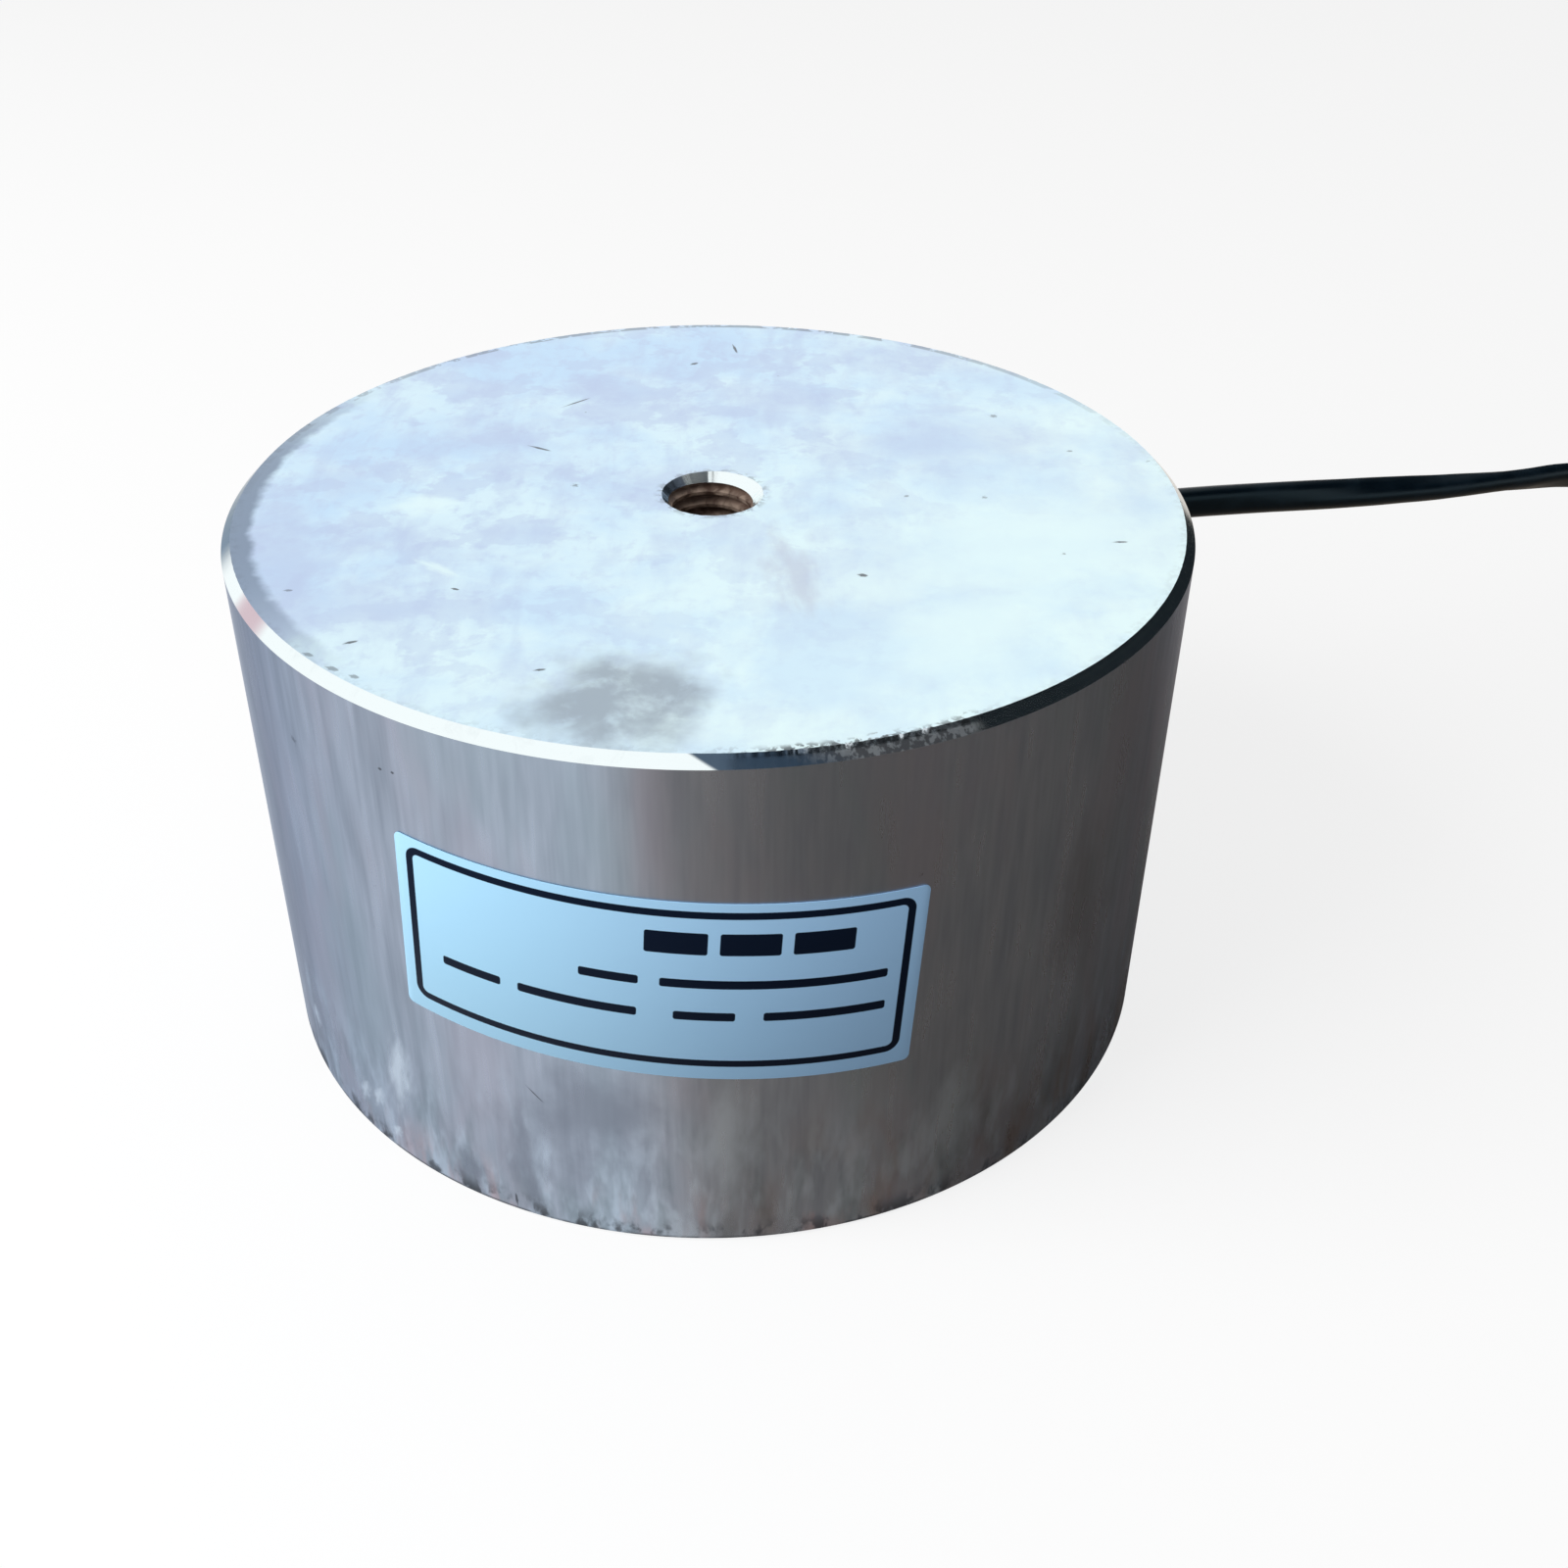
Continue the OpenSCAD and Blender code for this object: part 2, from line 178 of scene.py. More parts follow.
class Bench:
    """Lays out the nodes of one tree and links them."""

    def __init__(self, tree):
        self.tree = tree

    def feed(self, socket, value):
        if isinstance(value, bpy.types.NodeSocket):
            self.tree.links.new(value, socket)
        else:
            socket.default_value = value

    def put(self, kind, inputs=None, **settings):
        node = self.tree.nodes.new(kind)
        for key, value in settings.items():
            setattr(node, key, value)
        for key, value in (inputs or {}).items():
            self.feed(node.inputs[key], value)
        return node

    def use(self, group, inputs, output=0):
        return self.put("ShaderNodeGroup", inputs, node_tree=group).outputs[output]

    def math(self, operation, first, second=0.0, clamp=False):
        node = self.put("ShaderNodeMath", {0: first, 1: second}, operation=operation, use_clamp=clamp)
        return node.outputs[0]

    def times(self, first, second):
        return self.math("MULTIPLY", first, second)

    def plus(self, first, second, clamp=False):
        return self.math("ADD", first, second, clamp)

    def less(self, first, second):
        return self.math("SUBTRACT", first, second)

    def most(self, first, second):
        return self.math("MAXIMUM", first, second)

    def vector(self, operation, first, second=CLEAR, output=0):
        return self.put("ShaderNodeVectorMath", {0: first, 1: second}, operation=operation).outputs[output]

    def ease(self, value, low, high, start=0.0, end=1.0):
        """A soft step from start to end as the value goes from low to high."""
        names = {"Value": value, "From Min": low, "From Max": high, "To Min": start, "To Max": end}
        return self.put("ShaderNodeMapRange", names, interpolation_type="SMOOTHSTEP").outputs[0]

    def blend(self, share, first, second):
        return self.put("ShaderNodeMix", {0: share, 6: first, 7: second}, data_type="RGBA").outputs[2]

    def tint(self, colour, mask, share, tone):
        """Blends a share of a tone into a colour where the mask is."""
        return self.blend(self.times(mask, share), colour, tone)

    def cloud(self, place, scale, detail=3.0, warp=0.0, rough=0.5):
        inputs = {"Vector": place, "Scale": scale, "Detail": detail, "Distortion": warp, "Roughness": rough}
        return self.put("ShaderNodeTexNoise", inputs).outputs[0]

    def millimetres(self):
        place = self.put("ShaderNodeTexCoord").outputs["Object"]
        node = self.put("ShaderNodeVectorMath", {0: place}, operation="SCALE")
        node.inputs["Scale"].default_value = 1 / MM
        return node.outputs[0]

    def parts(self, place):
        node = self.put("ShaderNodeSeparateXYZ", {0: place})
        return node.outputs[0], node.outputs[1], node.outputs[2]

    def join(self, x, y, z=0.0):
        return self.put("ShaderNodeCombineXYZ", {0: x, 1: y, 2: z}).outputs[0]

    def patches(self, place, scale, low=0.45, high=0.7, warp=0.6, detail=6.0):
        inputs = {"Vector": place, "Scale": scale, "Low": low, "High": high, "Warp": warp, "Detail": detail}
        return self.use(PATCHES, inputs)

    def axis_distance(self, place):
        return self.vector("LENGTH", self.vector("MULTIPLY", place, LEVEL), output=1)

    def wall_arc(self, x, y):
        """Millimetres round the wall from its +X side."""
        return self.times(self.math("ARCTAN2", y, x), BODY_R / MM)

    def facing(self, place, turn, spread):
        """One where the place lies at a polar angle, falling to zero at that spread to either side."""
        flat = self.vector("NORMALIZE", self.vector("MULTIPLY", place, LEVEL))
        ahead = self.vector("DOT_PRODUCT", flat, (cos(radians(turn)), sin(radians(turn)), 0.0), output=1)
        return self.ease(ahead, cos(radians(spread)), 1.0)

    def bump(self, height, depth):
        """Relief of a depth in millimetres."""
        return self.put("ShaderNodeBump", {"Height": height, "Distance": depth * MM}).outputs[0]


def new_group(name, inputs, outputs):
    """A node group with named sockets: its bench and its input node."""
    tree = bpy.data.node_groups.new(name, "ShaderNodeTree")
    for label, kind, value in inputs:
        socket = tree.interface.new_socket(label, in_out="INPUT", socket_type="NodeSocket" + kind)
        if value is not None:
            socket.default_value = value
    for label, kind in outputs:
        tree.interface.new_socket(label, in_out="OUTPUT", socket_type="NodeSocket" + kind)
    bench = Bench(tree)
    return bench, bench.put("NodeGroupInput").outputs


def brushed_grain_group():
    """Streaks drawn out along Z by the turning and brushing of the wall."""
    inputs = [("Vector", "Vector", None), ("Fineness", "Float", 1.0), ("Stretch", "Float", 20.0)]
    bench, given = new_group("brushed_grain", inputs, [("Mask", "Float")])
    along = bench.math("DIVIDE", given["Fineness"], given["Stretch"])
    drawn = bench.join(given["Fineness"], given["Fineness"], along)
    grain = bench.cloud(bench.vector("MULTIPLY", given["Vector"], drawn), 1.0, detail=2.0)
    bench.put("NodeGroupOutput", {"Mask": bench.ease(grain, 0.3, 0.7)})
    return bench.tree


def patches_group():
    """Soft-edged patches: stains, smears and worn places."""
    inputs = [("Vector", "Vector", None), ("Scale", "Float", 0.1), ("Low", "Float", 0.45),
              ("High", "Float", 0.7), ("Warp", "Float", 0.6), ("Detail", "Float", 6.0)]
    bench, given = new_group("patches", inputs, [("Mask", "Float")])
    cloud = bench.cloud(given["Vector"], given["Scale"], given["Detail"], given["Warp"], rough=0.58)
    bench.put("NodeGroupOutput", {"Mask": bench.ease(cloud, given["Low"], given["High"])})
    return bench.tree


def specks_group():
    """Scattered small pits: a share of the cells holds one ragged dot each."""
    inputs = [("Vector", "Vector", None), ("Scale", "Float", 0.3), ("Size", "Float", 0.2),
              ("Share", "Float", 0.2)]
    bench, given = new_group("specks", inputs, [("Mask", "Float")])
    cells = bench.put("ShaderNodeTexVoronoi", {"Vector": given["Vector"], "Scale": given["Scale"]})
    draw = bench.parts(cells.outputs["Color"])
    chosen = bench.math("LESS_THAN", draw[0], given["Share"])
    radius = bench.times(given["Size"], bench.plus(draw[1], 0.4))
    ragged = bench.times(bench.cloud(given["Vector"], 3.0), 1.6)
    near = bench.times(bench.math("DIVIDE", cells.outputs["Distance"], radius), ragged)
    dot = bench.ease(near, 0.5, 1.0, 1.0, 0.0)
    bench.put("NodeGroupOutput", {"Mask": bench.times(dot, chosen)})
    return bench.tree


def mark_group():
    """One scratch, tick or stain: a ragged ellipse at a place, turned by an angle."""
    inputs = [("Vector", "Vector", None), ("Place", "Vector", CLEAR), ("Angle", "Float", 0.0),
              ("Length", "Float", 2.0), ("Width", "Float", 0.3), ("Ragged", "Float", 0.3),
              ("Soft", "Float", 0.5)]
    bench, given = new_group("mark", inputs, [("Mask", "Float")])
    offset = bench.vector("SUBTRACT", given["Vector"], given["Place"])
    turned = bench.put("ShaderNodeVectorRotate", {"Vector": offset}, rotation_type="Z_AXIS")
    bench.feed(turned.inputs["Angle"], bench.times(given["Angle"], -1.0))
    along, across, _ = bench.parts(turned.outputs[0])
    u = bench.math("DIVIDE", along, bench.times(given["Length"], 0.5))
    v = bench.math("DIVIDE", across, bench.times(given["Width"], 0.5))
    reach = bench.math("SQRT", bench.plus(bench.times(u, u), bench.times(v, v)))
    torn = bench.less(bench.cloud(bench.join(u, v), 1.6, detail=4.0), 0.5)
    reach = bench.plus(reach, bench.times(torn, bench.times(given["Ragged"], 4.0)))
    mask = bench.ease(reach, bench.less(1.0, given["Soft"]), 1.0, 1.0, 0.0)
    bench.put("NodeGroupOutput", {"Mask": mask})
    return bench.tree


def printed_bar_group():
    """A printed bar with round corners, on label coordinates."""
    inputs = [("Vector", "Vector", None), ("Place", "Vector", CLEAR), ("Half", "Vector", LEVEL),
              ("Corner", "Float", 0.3)]
    bench, given = new_group("printed_bar", inputs, [("Mask", "Float")])
    away = bench.vector("ABSOLUTE", bench.vector("SUBTRACT", given["Vector"], given["Place"]))
    corner = bench.join(given["Corner"], given["Corner"])
    past = bench.vector("ADD", bench.vector("SUBTRACT", away, given["Half"]), corner)
    past = bench.vector("MAXIMUM", past, CLEAR)
    reach = bench.less(bench.vector("LENGTH", past, output=1), given["Corner"])
    bench.put("NodeGroupOutput", {"Mask": bench.ease(reach, -0.05, 0.05, 1.0, 0.0)})
    return bench.tree


def moulded_grain_group():
    """Fine even grain of moulded and extruded plastics, and a slow change of tone."""
    inputs = [("Vector", "Vector", None), ("Scale", "Float", 6.0)]
    bench, given = new_group("moulded_grain", inputs, [("Height", "Float"), ("Tone", "Float")])
    fine = bench.cloud(given["Vector"], given["Scale"], detail=2.0)
    slow = bench.cloud(given["Vector"], bench.times(given["Scale"], 0.05), detail=3.0)
    bench.put("NodeGroupOutput", {"Height": fine, "Tone": bench.ease(slow, 0.3, 0.7)})
    return bench.tree


BRUSHED_GRAIN = brushed_grain_group()
PATCHES = patches_group()
SPECKS = specks_group()
MARK = mark_group()
PRINTED_BAR = printed_bar_group()
MOULDED_GRAIN = moulded_grain_group()


def new_material(name):
    """A material with its bench and its surface shader."""
    material = bpy.data.materials.new(name)
    material.use_nodes = True
    bench = Bench(material.node_tree)
    return material, bench, material.node_tree.nodes["Principled BSDF"]


def dress(bench, shader, **sockets):
    """Feeds the surface shader: words of a socket's name are joined by underscores."""
    for name, value in sockets.items():
        bench.feed(shader.inputs[name.replace("_", " ")], value)


# Steel finishes

WALL_SHEEN = rgb(0.55, 0.6, 0.7)
STEEL_DARK = rgb(0.265, 0.308, 0.38)
STEEL_PALE = rgb(0.395, 0.452, 0.55)
STEEL_GREEN = rgb(0.30, 0.385, 0.45)
STEEL_ROSE = rgb(0.37, 0.37, 0.45)
STEEL_BAND = rgb(0.19, 0.215, 0.27)
STEEL_BROWN = rgb(0.20, 0.20, 0.225)
STROKE_PALE = rgb(0.50, 0.60, 0.72)
STAIN_PINK = rgb(0.50, 0.37, 0.40)
STAIN_GREEN = rgb(0.17, 0.215, 0.25)
STAIN_BROWN = rgb(0.27, 0.21, 0.19)
STEEL_RINGS = rgb(0.58, 0.62, 0.66)
TOP_WHITE = rgb(0.79, 0.97, 0.99)
TOP_SKY_BLUE = rgb(0.57, 0.77, 0.97)
TOP_MAUVE = rgb(0.515, 0.62, 0.84)
TOP_GREY = rgb(0.36, 0.43, 0.50)
PAINTED_SHADE_GREY = rgb(0.22, 0.29, 0.40)
EDGE_WHITE = rgb(0.90, 0.98, 0.99)
EDGE_GREY = rgb(0.50, 0.56, 0.60)
EDGE_PINK = rgb(0.62, 0.46, 0.52)
PAINTED_HIGHLIGHT_PALE = rgb(0.66, 0.76, 0.87)
EDGE_REFLECTED_DARK = rgb(0.05, 0.087, 0.138)
NICK_GREY = rgb(0.16, 0.17, 0.185)
NICK_PALE = rgb(0.42, 0.48, 0.55)
MARK_DARK = rgb(0.07, 0.075, 0.085)
TRAIL_BROWN = rgb(0.52, 0.56, 0.69)
RUST_DARK = rgb(0.085, 0.05, 0.037)
RUST_PALE = rgb(0.46, 0.35, 0.28)

# Marks on the top face: middle x and y, length and width in millimetres, angle in degrees
TOP_MARKS = [
    (-14.5, 22.1, 4.2, 0.55, -56), (16.3, 40.0, 1.6, 0.8, 5), (24.2, 42.6, 4.2, 0.5, -106),
    (-4.3, 34.3, 5.5, 0.4, 15), (-51.1, -16.0, 2.0, 0.6, -5), (-34.9, -30.5, 1.6, 0.5, -17),
    (-37.1, -9.6, 1.3, 0.5, -52), (38.2, -33.9, 2.2, 0.5, -26), (6.2, -27.4, 1.5, 0.9, -50),
]
# Small specks on the top face, listed in the same way
TOP_SPECKS = [
    (-55.9, -16.5, 1.8, 0.8, -60), (-54.4, -20.5, 2.2, 0.9, -60), (-52.8, -23.1, 1.6, 0.8, -60),
    (-54.1, -1.5, 1.3, 0.6, -28), (21.5, -11.6, 0.9, 0.6, 0), (47.9, -9.5, 1.0, 0.6, -28),
]
# Paler rubbed places on the top face, listed in the same way
PALE_MARKS = [(-33.3, 12.7, 12.0, 8.0, -28), (-37.2, -4.0, 9.0, 2.2, -66), (27.0, -30.0, 50.0, 34.0, -10),
              (10.5, -44.1, 36.0, 22.0, 14)]
# The top's one grey stain and a faint brown trail, listed in the same way
TOP_STAIN = [(-29.7, -40.0, 25.0, 24.0, -28)]
TOP_TRAIL = [(-0.8, -23.5, 28.0, 8.0, -110)]
# Mauve smears of the top: shift, scale, shrink away from the viewer, cloud level, its span, share
TOP_SMEARS = [
    (40.0, 0.06, 0.75, 0.47, 0.2, 0.52), (80.0, 0.16, 0.75, 0.49, 0.2, 0.36),
    (120.0, 0.4, 0.75, 0.51, 0.2, 0.32), (160.0, 0.26, 0.25, 0.49, 0.2, 0.32),
    (200.0, 0.11, 1.0, 0.53, 0.06, 0.36),
]
# Duller places on the top face, listed as the marks are
DULL_MARKS = [(36.6, -1.0, 44.0, 26.0, -28), (20.0, 22.0, 30.0, 16.0, -10), (-40.0, 24.0, 16.0, 14.0, 40),
              (40.0, 9.3, 13.0, 7.0, -28), (-47.6, -8.7, 26.0, 16.0, -50)]
# Streaks of the wall: fineness, stretch along Z, share
WALL_STREAKS = [(0.22, 4.0, 0.4), (0.6, 8.0, 0.36), (1.4, 20.0, 0.24)]
# Marks on the wall: arc from the +X side and height of the middle, length and width in millimetres, angle
WALL_MARKS = [(-146.6, 2.0, 2.6, 0.45, 92), (-142.6, 21.1, 3.6, 0.22, -46), (-158.7, 61.6, 0.7, 0.4, 0),
              (-156.9, 61.8, 0.6, 0.4, 0)]
# Painted highlights near the wall's foot, listed in the same way
WALL_PAINTED_HIGHLIGHTS = [(-185.0, 9.5, 5.0, 3.5, 80), (-171.7, 6.5, 6.0, 2.6, 60), (-168.6, 7.5, 6.0, 2.4, 60),
               (-165.5, 3.5, 3.5, 2.0, 50), (-163.4, 15.0, 16.0, 5.0, 78)]
# Darker, browner and paler places on the wall, listed in the same way
WALL_SHADES = [(-144.5, 10.0, 26.0, 8.0, 90), (-136.0, 19.0, 26.0, 28.0, 0), (-153.0, 4.0, 8.0, 12.0, 0)]
WALL_BROWNS = [(-72.0, 36.0, 40.0, 20.0, 95)]
WALL_RUBS = [(-120.0, 17.0, 26.0, 9.0, 85), (-92.0, 14.0, 22.0, 10.0, 85)]


def all_marks(bench, place, marks, ragged=0.3, soft=0.5):
    """The strongest of a list of marks at each place."""
    total = None
    for x, y, length, width, angle in marks:
        inputs = {"Vector": place, "Place": (x, y, 0.0), "Angle": radians(angle), "Length": length,
                  "Width": width, "Ragged": ragged, "Soft": soft}
        mark = bench.use(MARK, inputs)
        total = mark if total is None else bench.most(total, mark)
    return total


def wall_colour(bench, place, z):
    """Brushed steel with smears drawn out along Z: its colour, and the tone of its streaks."""
    tone = 0.0
    for fineness, stretch, share in WALL_STREAKS:
        streak = bench.use(BRUSHED_GRAIN, {"Vector": place, "Fineness": fineness, "Stretch": stretch})
        tone = bench.plus(tone, bench.times(streak, share))
    colour = bench.blend(tone, STEEL_DARK, STEEL_PALE)
    # Painted reflection: a dark stripe down the left of the wall.
    colour = bench.tint(colour, bench.facing(place, -179, 8), 0.6, STEEL_BAND)

    drawn = bench.vector("MULTIPLY", place, (1.0, 1.0, 0.3))
    low = bench.ease(z, 27.0, 3.0)
    foot = bench.ease(z, 10.0, 2.0)
    front = bench.times(foot, bench.facing(place, -128, 50))
    right = bench.times(low, bench.facing(place, -72, 55))
    layers = ((0.0, STEEL_GREEN, 0.07, 1.0, 0.5), (30.0, STEEL_ROSE, 0.09, 1.0, 0.5),
              (60.0, STROKE_PALE, 0.34, low, 0.7), (90.0, STAIN_GREEN, 0.28, low, 0.5),
              (120.0, STAIN_PINK, 0.22, front, 0.6), (150.0, STAIN_BROWN, 0.15, right, 0.7))
    for shift, stain, scale, where, share in layers:
        moved = bench.vector("ADD", drawn, (shift, shift, shift))
        patch = bench.patches(moved, scale, low=0.46, high=0.68, warp=0.2, detail=3.0)
        colour = bench.tint(colour, bench.times(patch, where), share, stain)
    return colour, tone


def wall_dirt_and_contact_shade(bench, place, z):
    """Dirt at the foot of the wall: ragged smudges, and a thin dark line along the edge that is a painted
    contact shadow.
    """
    smudge = bench.vector("MULTIPLY", place, (1.0, 1.0, 0.6))
    dirt_and_shade = bench.patches(smudge, 0.34, low=0.48, high=0.62, warp=0.2, detail=4.0)
    dirt_and_shade = bench.times(dirt_and_shade, bench.ease(z, 4.5, 0.4))
    line = bench.patches(place, 0.2, low=0.36, high=0.52, warp=0.2, detail=4.0)
    return bench.most(dirt_and_shade, bench.times(line, bench.ease(z, 0.9, 0.4)))


def brushed_wall():
    """Turned and brushed wall: soft smears along Z, rubbed strokes, dirt and a painted contact shadow at
    the foot, a painted dark reflection and painted highlights.
    """
    material, bench, shader = new_material("brushed_wall")
    place = bench.millimetres()
    x, y, z = bench.parts(place)
    colour, tone = wall_colour(bench, place, z)
    unrolled = bench.join(bench.wall_arc(x, y), z)
    layers = ((WALL_SHADES, 0.9, 0.75, STEEL_BAND), (WALL_BROWNS, 1.0, 0.5, STEEL_BROWN),
              (WALL_RUBS, 0.9, 0.72, STROKE_PALE))
    for places, soft, share, stain in layers:
        mask = all_marks(bench, unrolled, places, ragged=0.4, soft=soft)
        colour = bench.tint(colour, mask, share, stain)
    # Dirt near the foot, with a painted contact shadow along its edge.
    dirt_and_shade = wall_dirt_and_contact_shade(bench, place, z)
    colour = bench.tint(colour, dirt_and_shade, 0.9, MARK_DARK)
    specks = bench.use(SPECKS, {"Vector": place, "Scale": 0.22, "Size": 0.08, "Share": 0.1})
    colour = bench.tint(colour, specks, 0.5, MARK_DARK)
    # Painted highlights: pale spots near the foot.
    paler = all_marks(bench, unrolled, WALL_PAINTED_HIGHLIGHTS, ragged=0.4, soft=0.9)
    colour = bench.tint(colour, paler, 0.7, PAINTED_HIGHLIGHT_PALE)
    colour = bench.tint(colour, all_marks(bench, unrolled, WALL_MARKS), 0.85, MARK_DARK)

    rough = bench.plus(bench.times(tone, -0.06), 0.32)
    rough = bench.plus(rough, bench.times(dirt_and_shade, 0.15))
    brushing = bench.put("ShaderNodeTangent", direction_type="RADIAL", axis="Z").outputs[0]
    dress(bench, shader, Base_Color=colour, Metallic=1.0, Roughness=rough, Anisotropic=0.85,
          Anisotropic_Rotation=0.25, Specular_Tint=WALL_SHEEN, Tangent=brushing)
    return material


def plated_colour(bench, place):
    """Plating painted sky blue to white as a reflection of the sky, paler at the near right as painted
    light, with mauve smears and duller and paler places.
    """
    turned = {"Vector": place, "Rotation": (0.0, 0.0, -PHOTO_AZIMUTH)}
    rubbed = bench.put("ShaderNodeMapping", turned).outputs[0]
    # Painted light: the top's colour pales towards the camera's near right, and its blue is painted sky.
    nearer = bench.vector("DOT_PRODUCT", rubbed, (0.8, -0.6, 0.0), output=1)
    worn = bench.ease(nearer, -45.0, 60.0)
    smear = bench.patches(rubbed, 0.05, low=0.36, high=0.64, warp=0.2)
    pale = bench.plus(bench.times(worn, 0.55), bench.times(smear, 0.55), clamp=True)
    colour = bench.blend(pale, TOP_SKY_BLUE, TOP_WHITE)
    less_lit = bench.ease(worn, 0.0, 1.0, 1.3, 0.3)
    for shift, scale, shrink, low, span, share in TOP_SMEARS:
        drawn = bench.vector("MULTIPLY", rubbed, (1.0, shrink, 1.0))
        moved = bench.vector("ADD", drawn, (shift, shift, 0.0))
        mauve = bench.patches(moved, scale, low=low, high=low + span, warp=0.2)
        colour = bench.tint(colour, mauve, bench.times(less_lit, share), TOP_MAUVE)
    toned_down = all_marks(bench, place, DULL_MARKS, ragged=0.4, soft=0.8)
    colour = bench.tint(colour, toned_down, 0.4, TOP_MAUVE)
    paler = all_marks(bench, place, PALE_MARKS, soft=0.8)
    return bench.tint(colour, paler, 0.75, TOP_WHITE)


def top_dark_marks(bench, place, radius, wavy):
    """Dark marks of the top: chips and dashes at the rim, the hole's mouth, scratches and specks."""
    rag = bench.patches(place, 0.9, low=0.46, high=0.56, warp=0.2, detail=3.0)
    nicked = bench.plus(bench.facing(place, degrees(NICK_TURN), 16), 0.12, clamp=True)
    chipped = bench.times(bench.times(bench.ease(wavy, 58.7, 59.8), rag), nicked)
    dashes = bench.patches(place, 0.45, low=0.42, high=0.52, warp=0.2, detail=3.0)
    dashes = bench.times(bench.times(dashes, bench.ease(radius, 57.6, 58.0)), 0.6)
    chipped = bench.most(chipped, bench.times(dashes, bench.facing(place, 70, 95)))
    mouth = bench.times(bench.ease(radius, 7.6, 6.5), rag)
    specks = bench.use(SPECKS, {"Vector": place, "Scale": 0.2, "Size": 0.07, "Share": 0.08})
    specks = bench.most(specks, all_marks(bench, place, TOP_SPECKS))
    marks = bench.most(all_marks(bench, place, TOP_MARKS), bench.times(specks, 0.65))
    return bench.most(marks, bench.most(chipped, bench.times(mouth, 0.45)))


def ground_top():
    """Ground back face under bright plating: pale smears, one grey stain, painted grey shade in the rim's
    reflection at the left, scratches and pits.
    """
    material, bench, shader = new_material("ground_top")
    place = bench.millimetres()
    colour = plated_colour(bench, place)
    stain = all_marks(bench, place, TOP_STAIN, soft=0.6)
    cloudy = bench.patches(place, 0.2, low=0.3, high=0.55, warp=0.3)
    stain = bench.times(stain, bench.plus(bench.times(cloudy, 0.5), 0.5))
    colour = bench.tint(colour, stain, 0.9, TOP_GREY)
    trail = all_marks(bench, place, TOP_TRAIL, ragged=0.5, soft=0.9)
    colour = bench.tint(colour, trail, 0.55, TRAIL_BROWN)

    radius = bench.axis_distance(place)
    wavy = bench.plus(radius, bench.times(bench.cloud(place, 0.3, detail=5.0), 2.4))
    # Painted shade: a grey stripe along the left of the rim stands in for a darker reflection there.
    painted_rim_shade = bench.times(bench.ease(wavy, 56.9, 58.3), bench.facing(place, 160, 44))
    colour = bench.tint(colour, painted_rim_shade, 0.95, PAINTED_SHADE_GREY)
    marks = top_dark_marks(bench, place, radius, wavy)
    colour = bench.tint(colour, marks, 0.85, MARK_DARK)

    rough = bench.plus(0.3, bench.times(stain, 0.08))
    height = bench.less(bench.times(bench.cloud(place, 3.0), 0.3), marks)
    dress(bench, shader, Base_Color=colour, Metallic=1.0, Roughness=rough, Normal=bench.bump(height, 0.006))
    return material


# Where the chamfer's painted dark reflection starts: arc at the top edge in millimetres, and its lean per
# millimetre
DARK_ARC = -123.5
DARK_SLANT = 2.25


def bright_edge():
    """Freshly cut chamfer and countersink: the brightest steel on the pot, nicked at the front, with
    painted grey and dark reflections.
    """
    material, bench, shader = new_material("bright_edge")
    place = bench.millimetres()
    x, y, z = bench.parts(place)
    patch = bench.patches(place, 0.3, low=0.55, high=0.75)
    colour = bench.tint(EDGE_WHITE, patch, 0.15, EDGE_GREY)
    colour = bench.tint(colour, bench.facing(place, -176, 5), 0.9, EDGE_PINK)
    # Painted shade: the chamfer is greyed towards the back left, in colour and in its sheen, in place of a
    # darker reflection.
    toned_down = bench.ease(bench.facing(place, 136, 40), 0.0, 0.4)
    colour = bench.tint(colour, toned_down, 0.9, PAINTED_SHADE_GREY)
    nicked = bench.ease(bench.facing(place, degrees(NICK_TURN), 15), 0.0, 0.5)
    dulled = bench.times(nicked, bench.ease(z, BODY_H / MM - 0.3, BODY_H / MM - 0.6))
    colour = bench.tint(colour, nicked, 0.6, NICK_PALE)
    colour = bench.tint(colour, dulled, 0.7, NICK_GREY)
    teeth = bench.vector("MULTIPLY", place, (1.0, 1.0, 0.4))
    rag = bench.patches(teeth, 1.5, low=0.44, high=0.56, warp=0.2, detail=3.0)
    colour = bench.tint(colour, bench.times(nicked, rag), 0.8, MARK_DARK)

    # Painted reflection: the chamfer's slanted dark start.
    slant = bench.times(bench.less(z, BODY_H / MM), DARK_SLANT)
    past = bench.less(bench.plus(bench.wall_arc(x, y), slant), DARK_ARC)
    painted_dark_reflection = bench.times(bench.ease(past, -0.4, 0.4), bench.ease(past, 16.0, 8.0))
    colour = bench.tint(colour, painted_dark_reflection, 0.97, EDGE_REFLECTED_DARK)

    rough = bench.plus(0.13, bench.times(nicked, 0.12))
    rough = bench.plus(rough, bench.times(dulled, 0.25))
    rough = bench.plus(rough, bench.ease(bench.axis_distance(place), 12.0, 10.0, 0.0, 0.06))
    grain = bench.cloud(place, 2.5, detail=3.0)
    dress(bench, shader, Base_Color=colour, Metallic=1.0, Roughness=rough, Normal=bench.bump(grain, 0.002),
          Specular_Tint=bench.blend(toned_down, PURE_WHITE, EDGE_GREY))
    return material


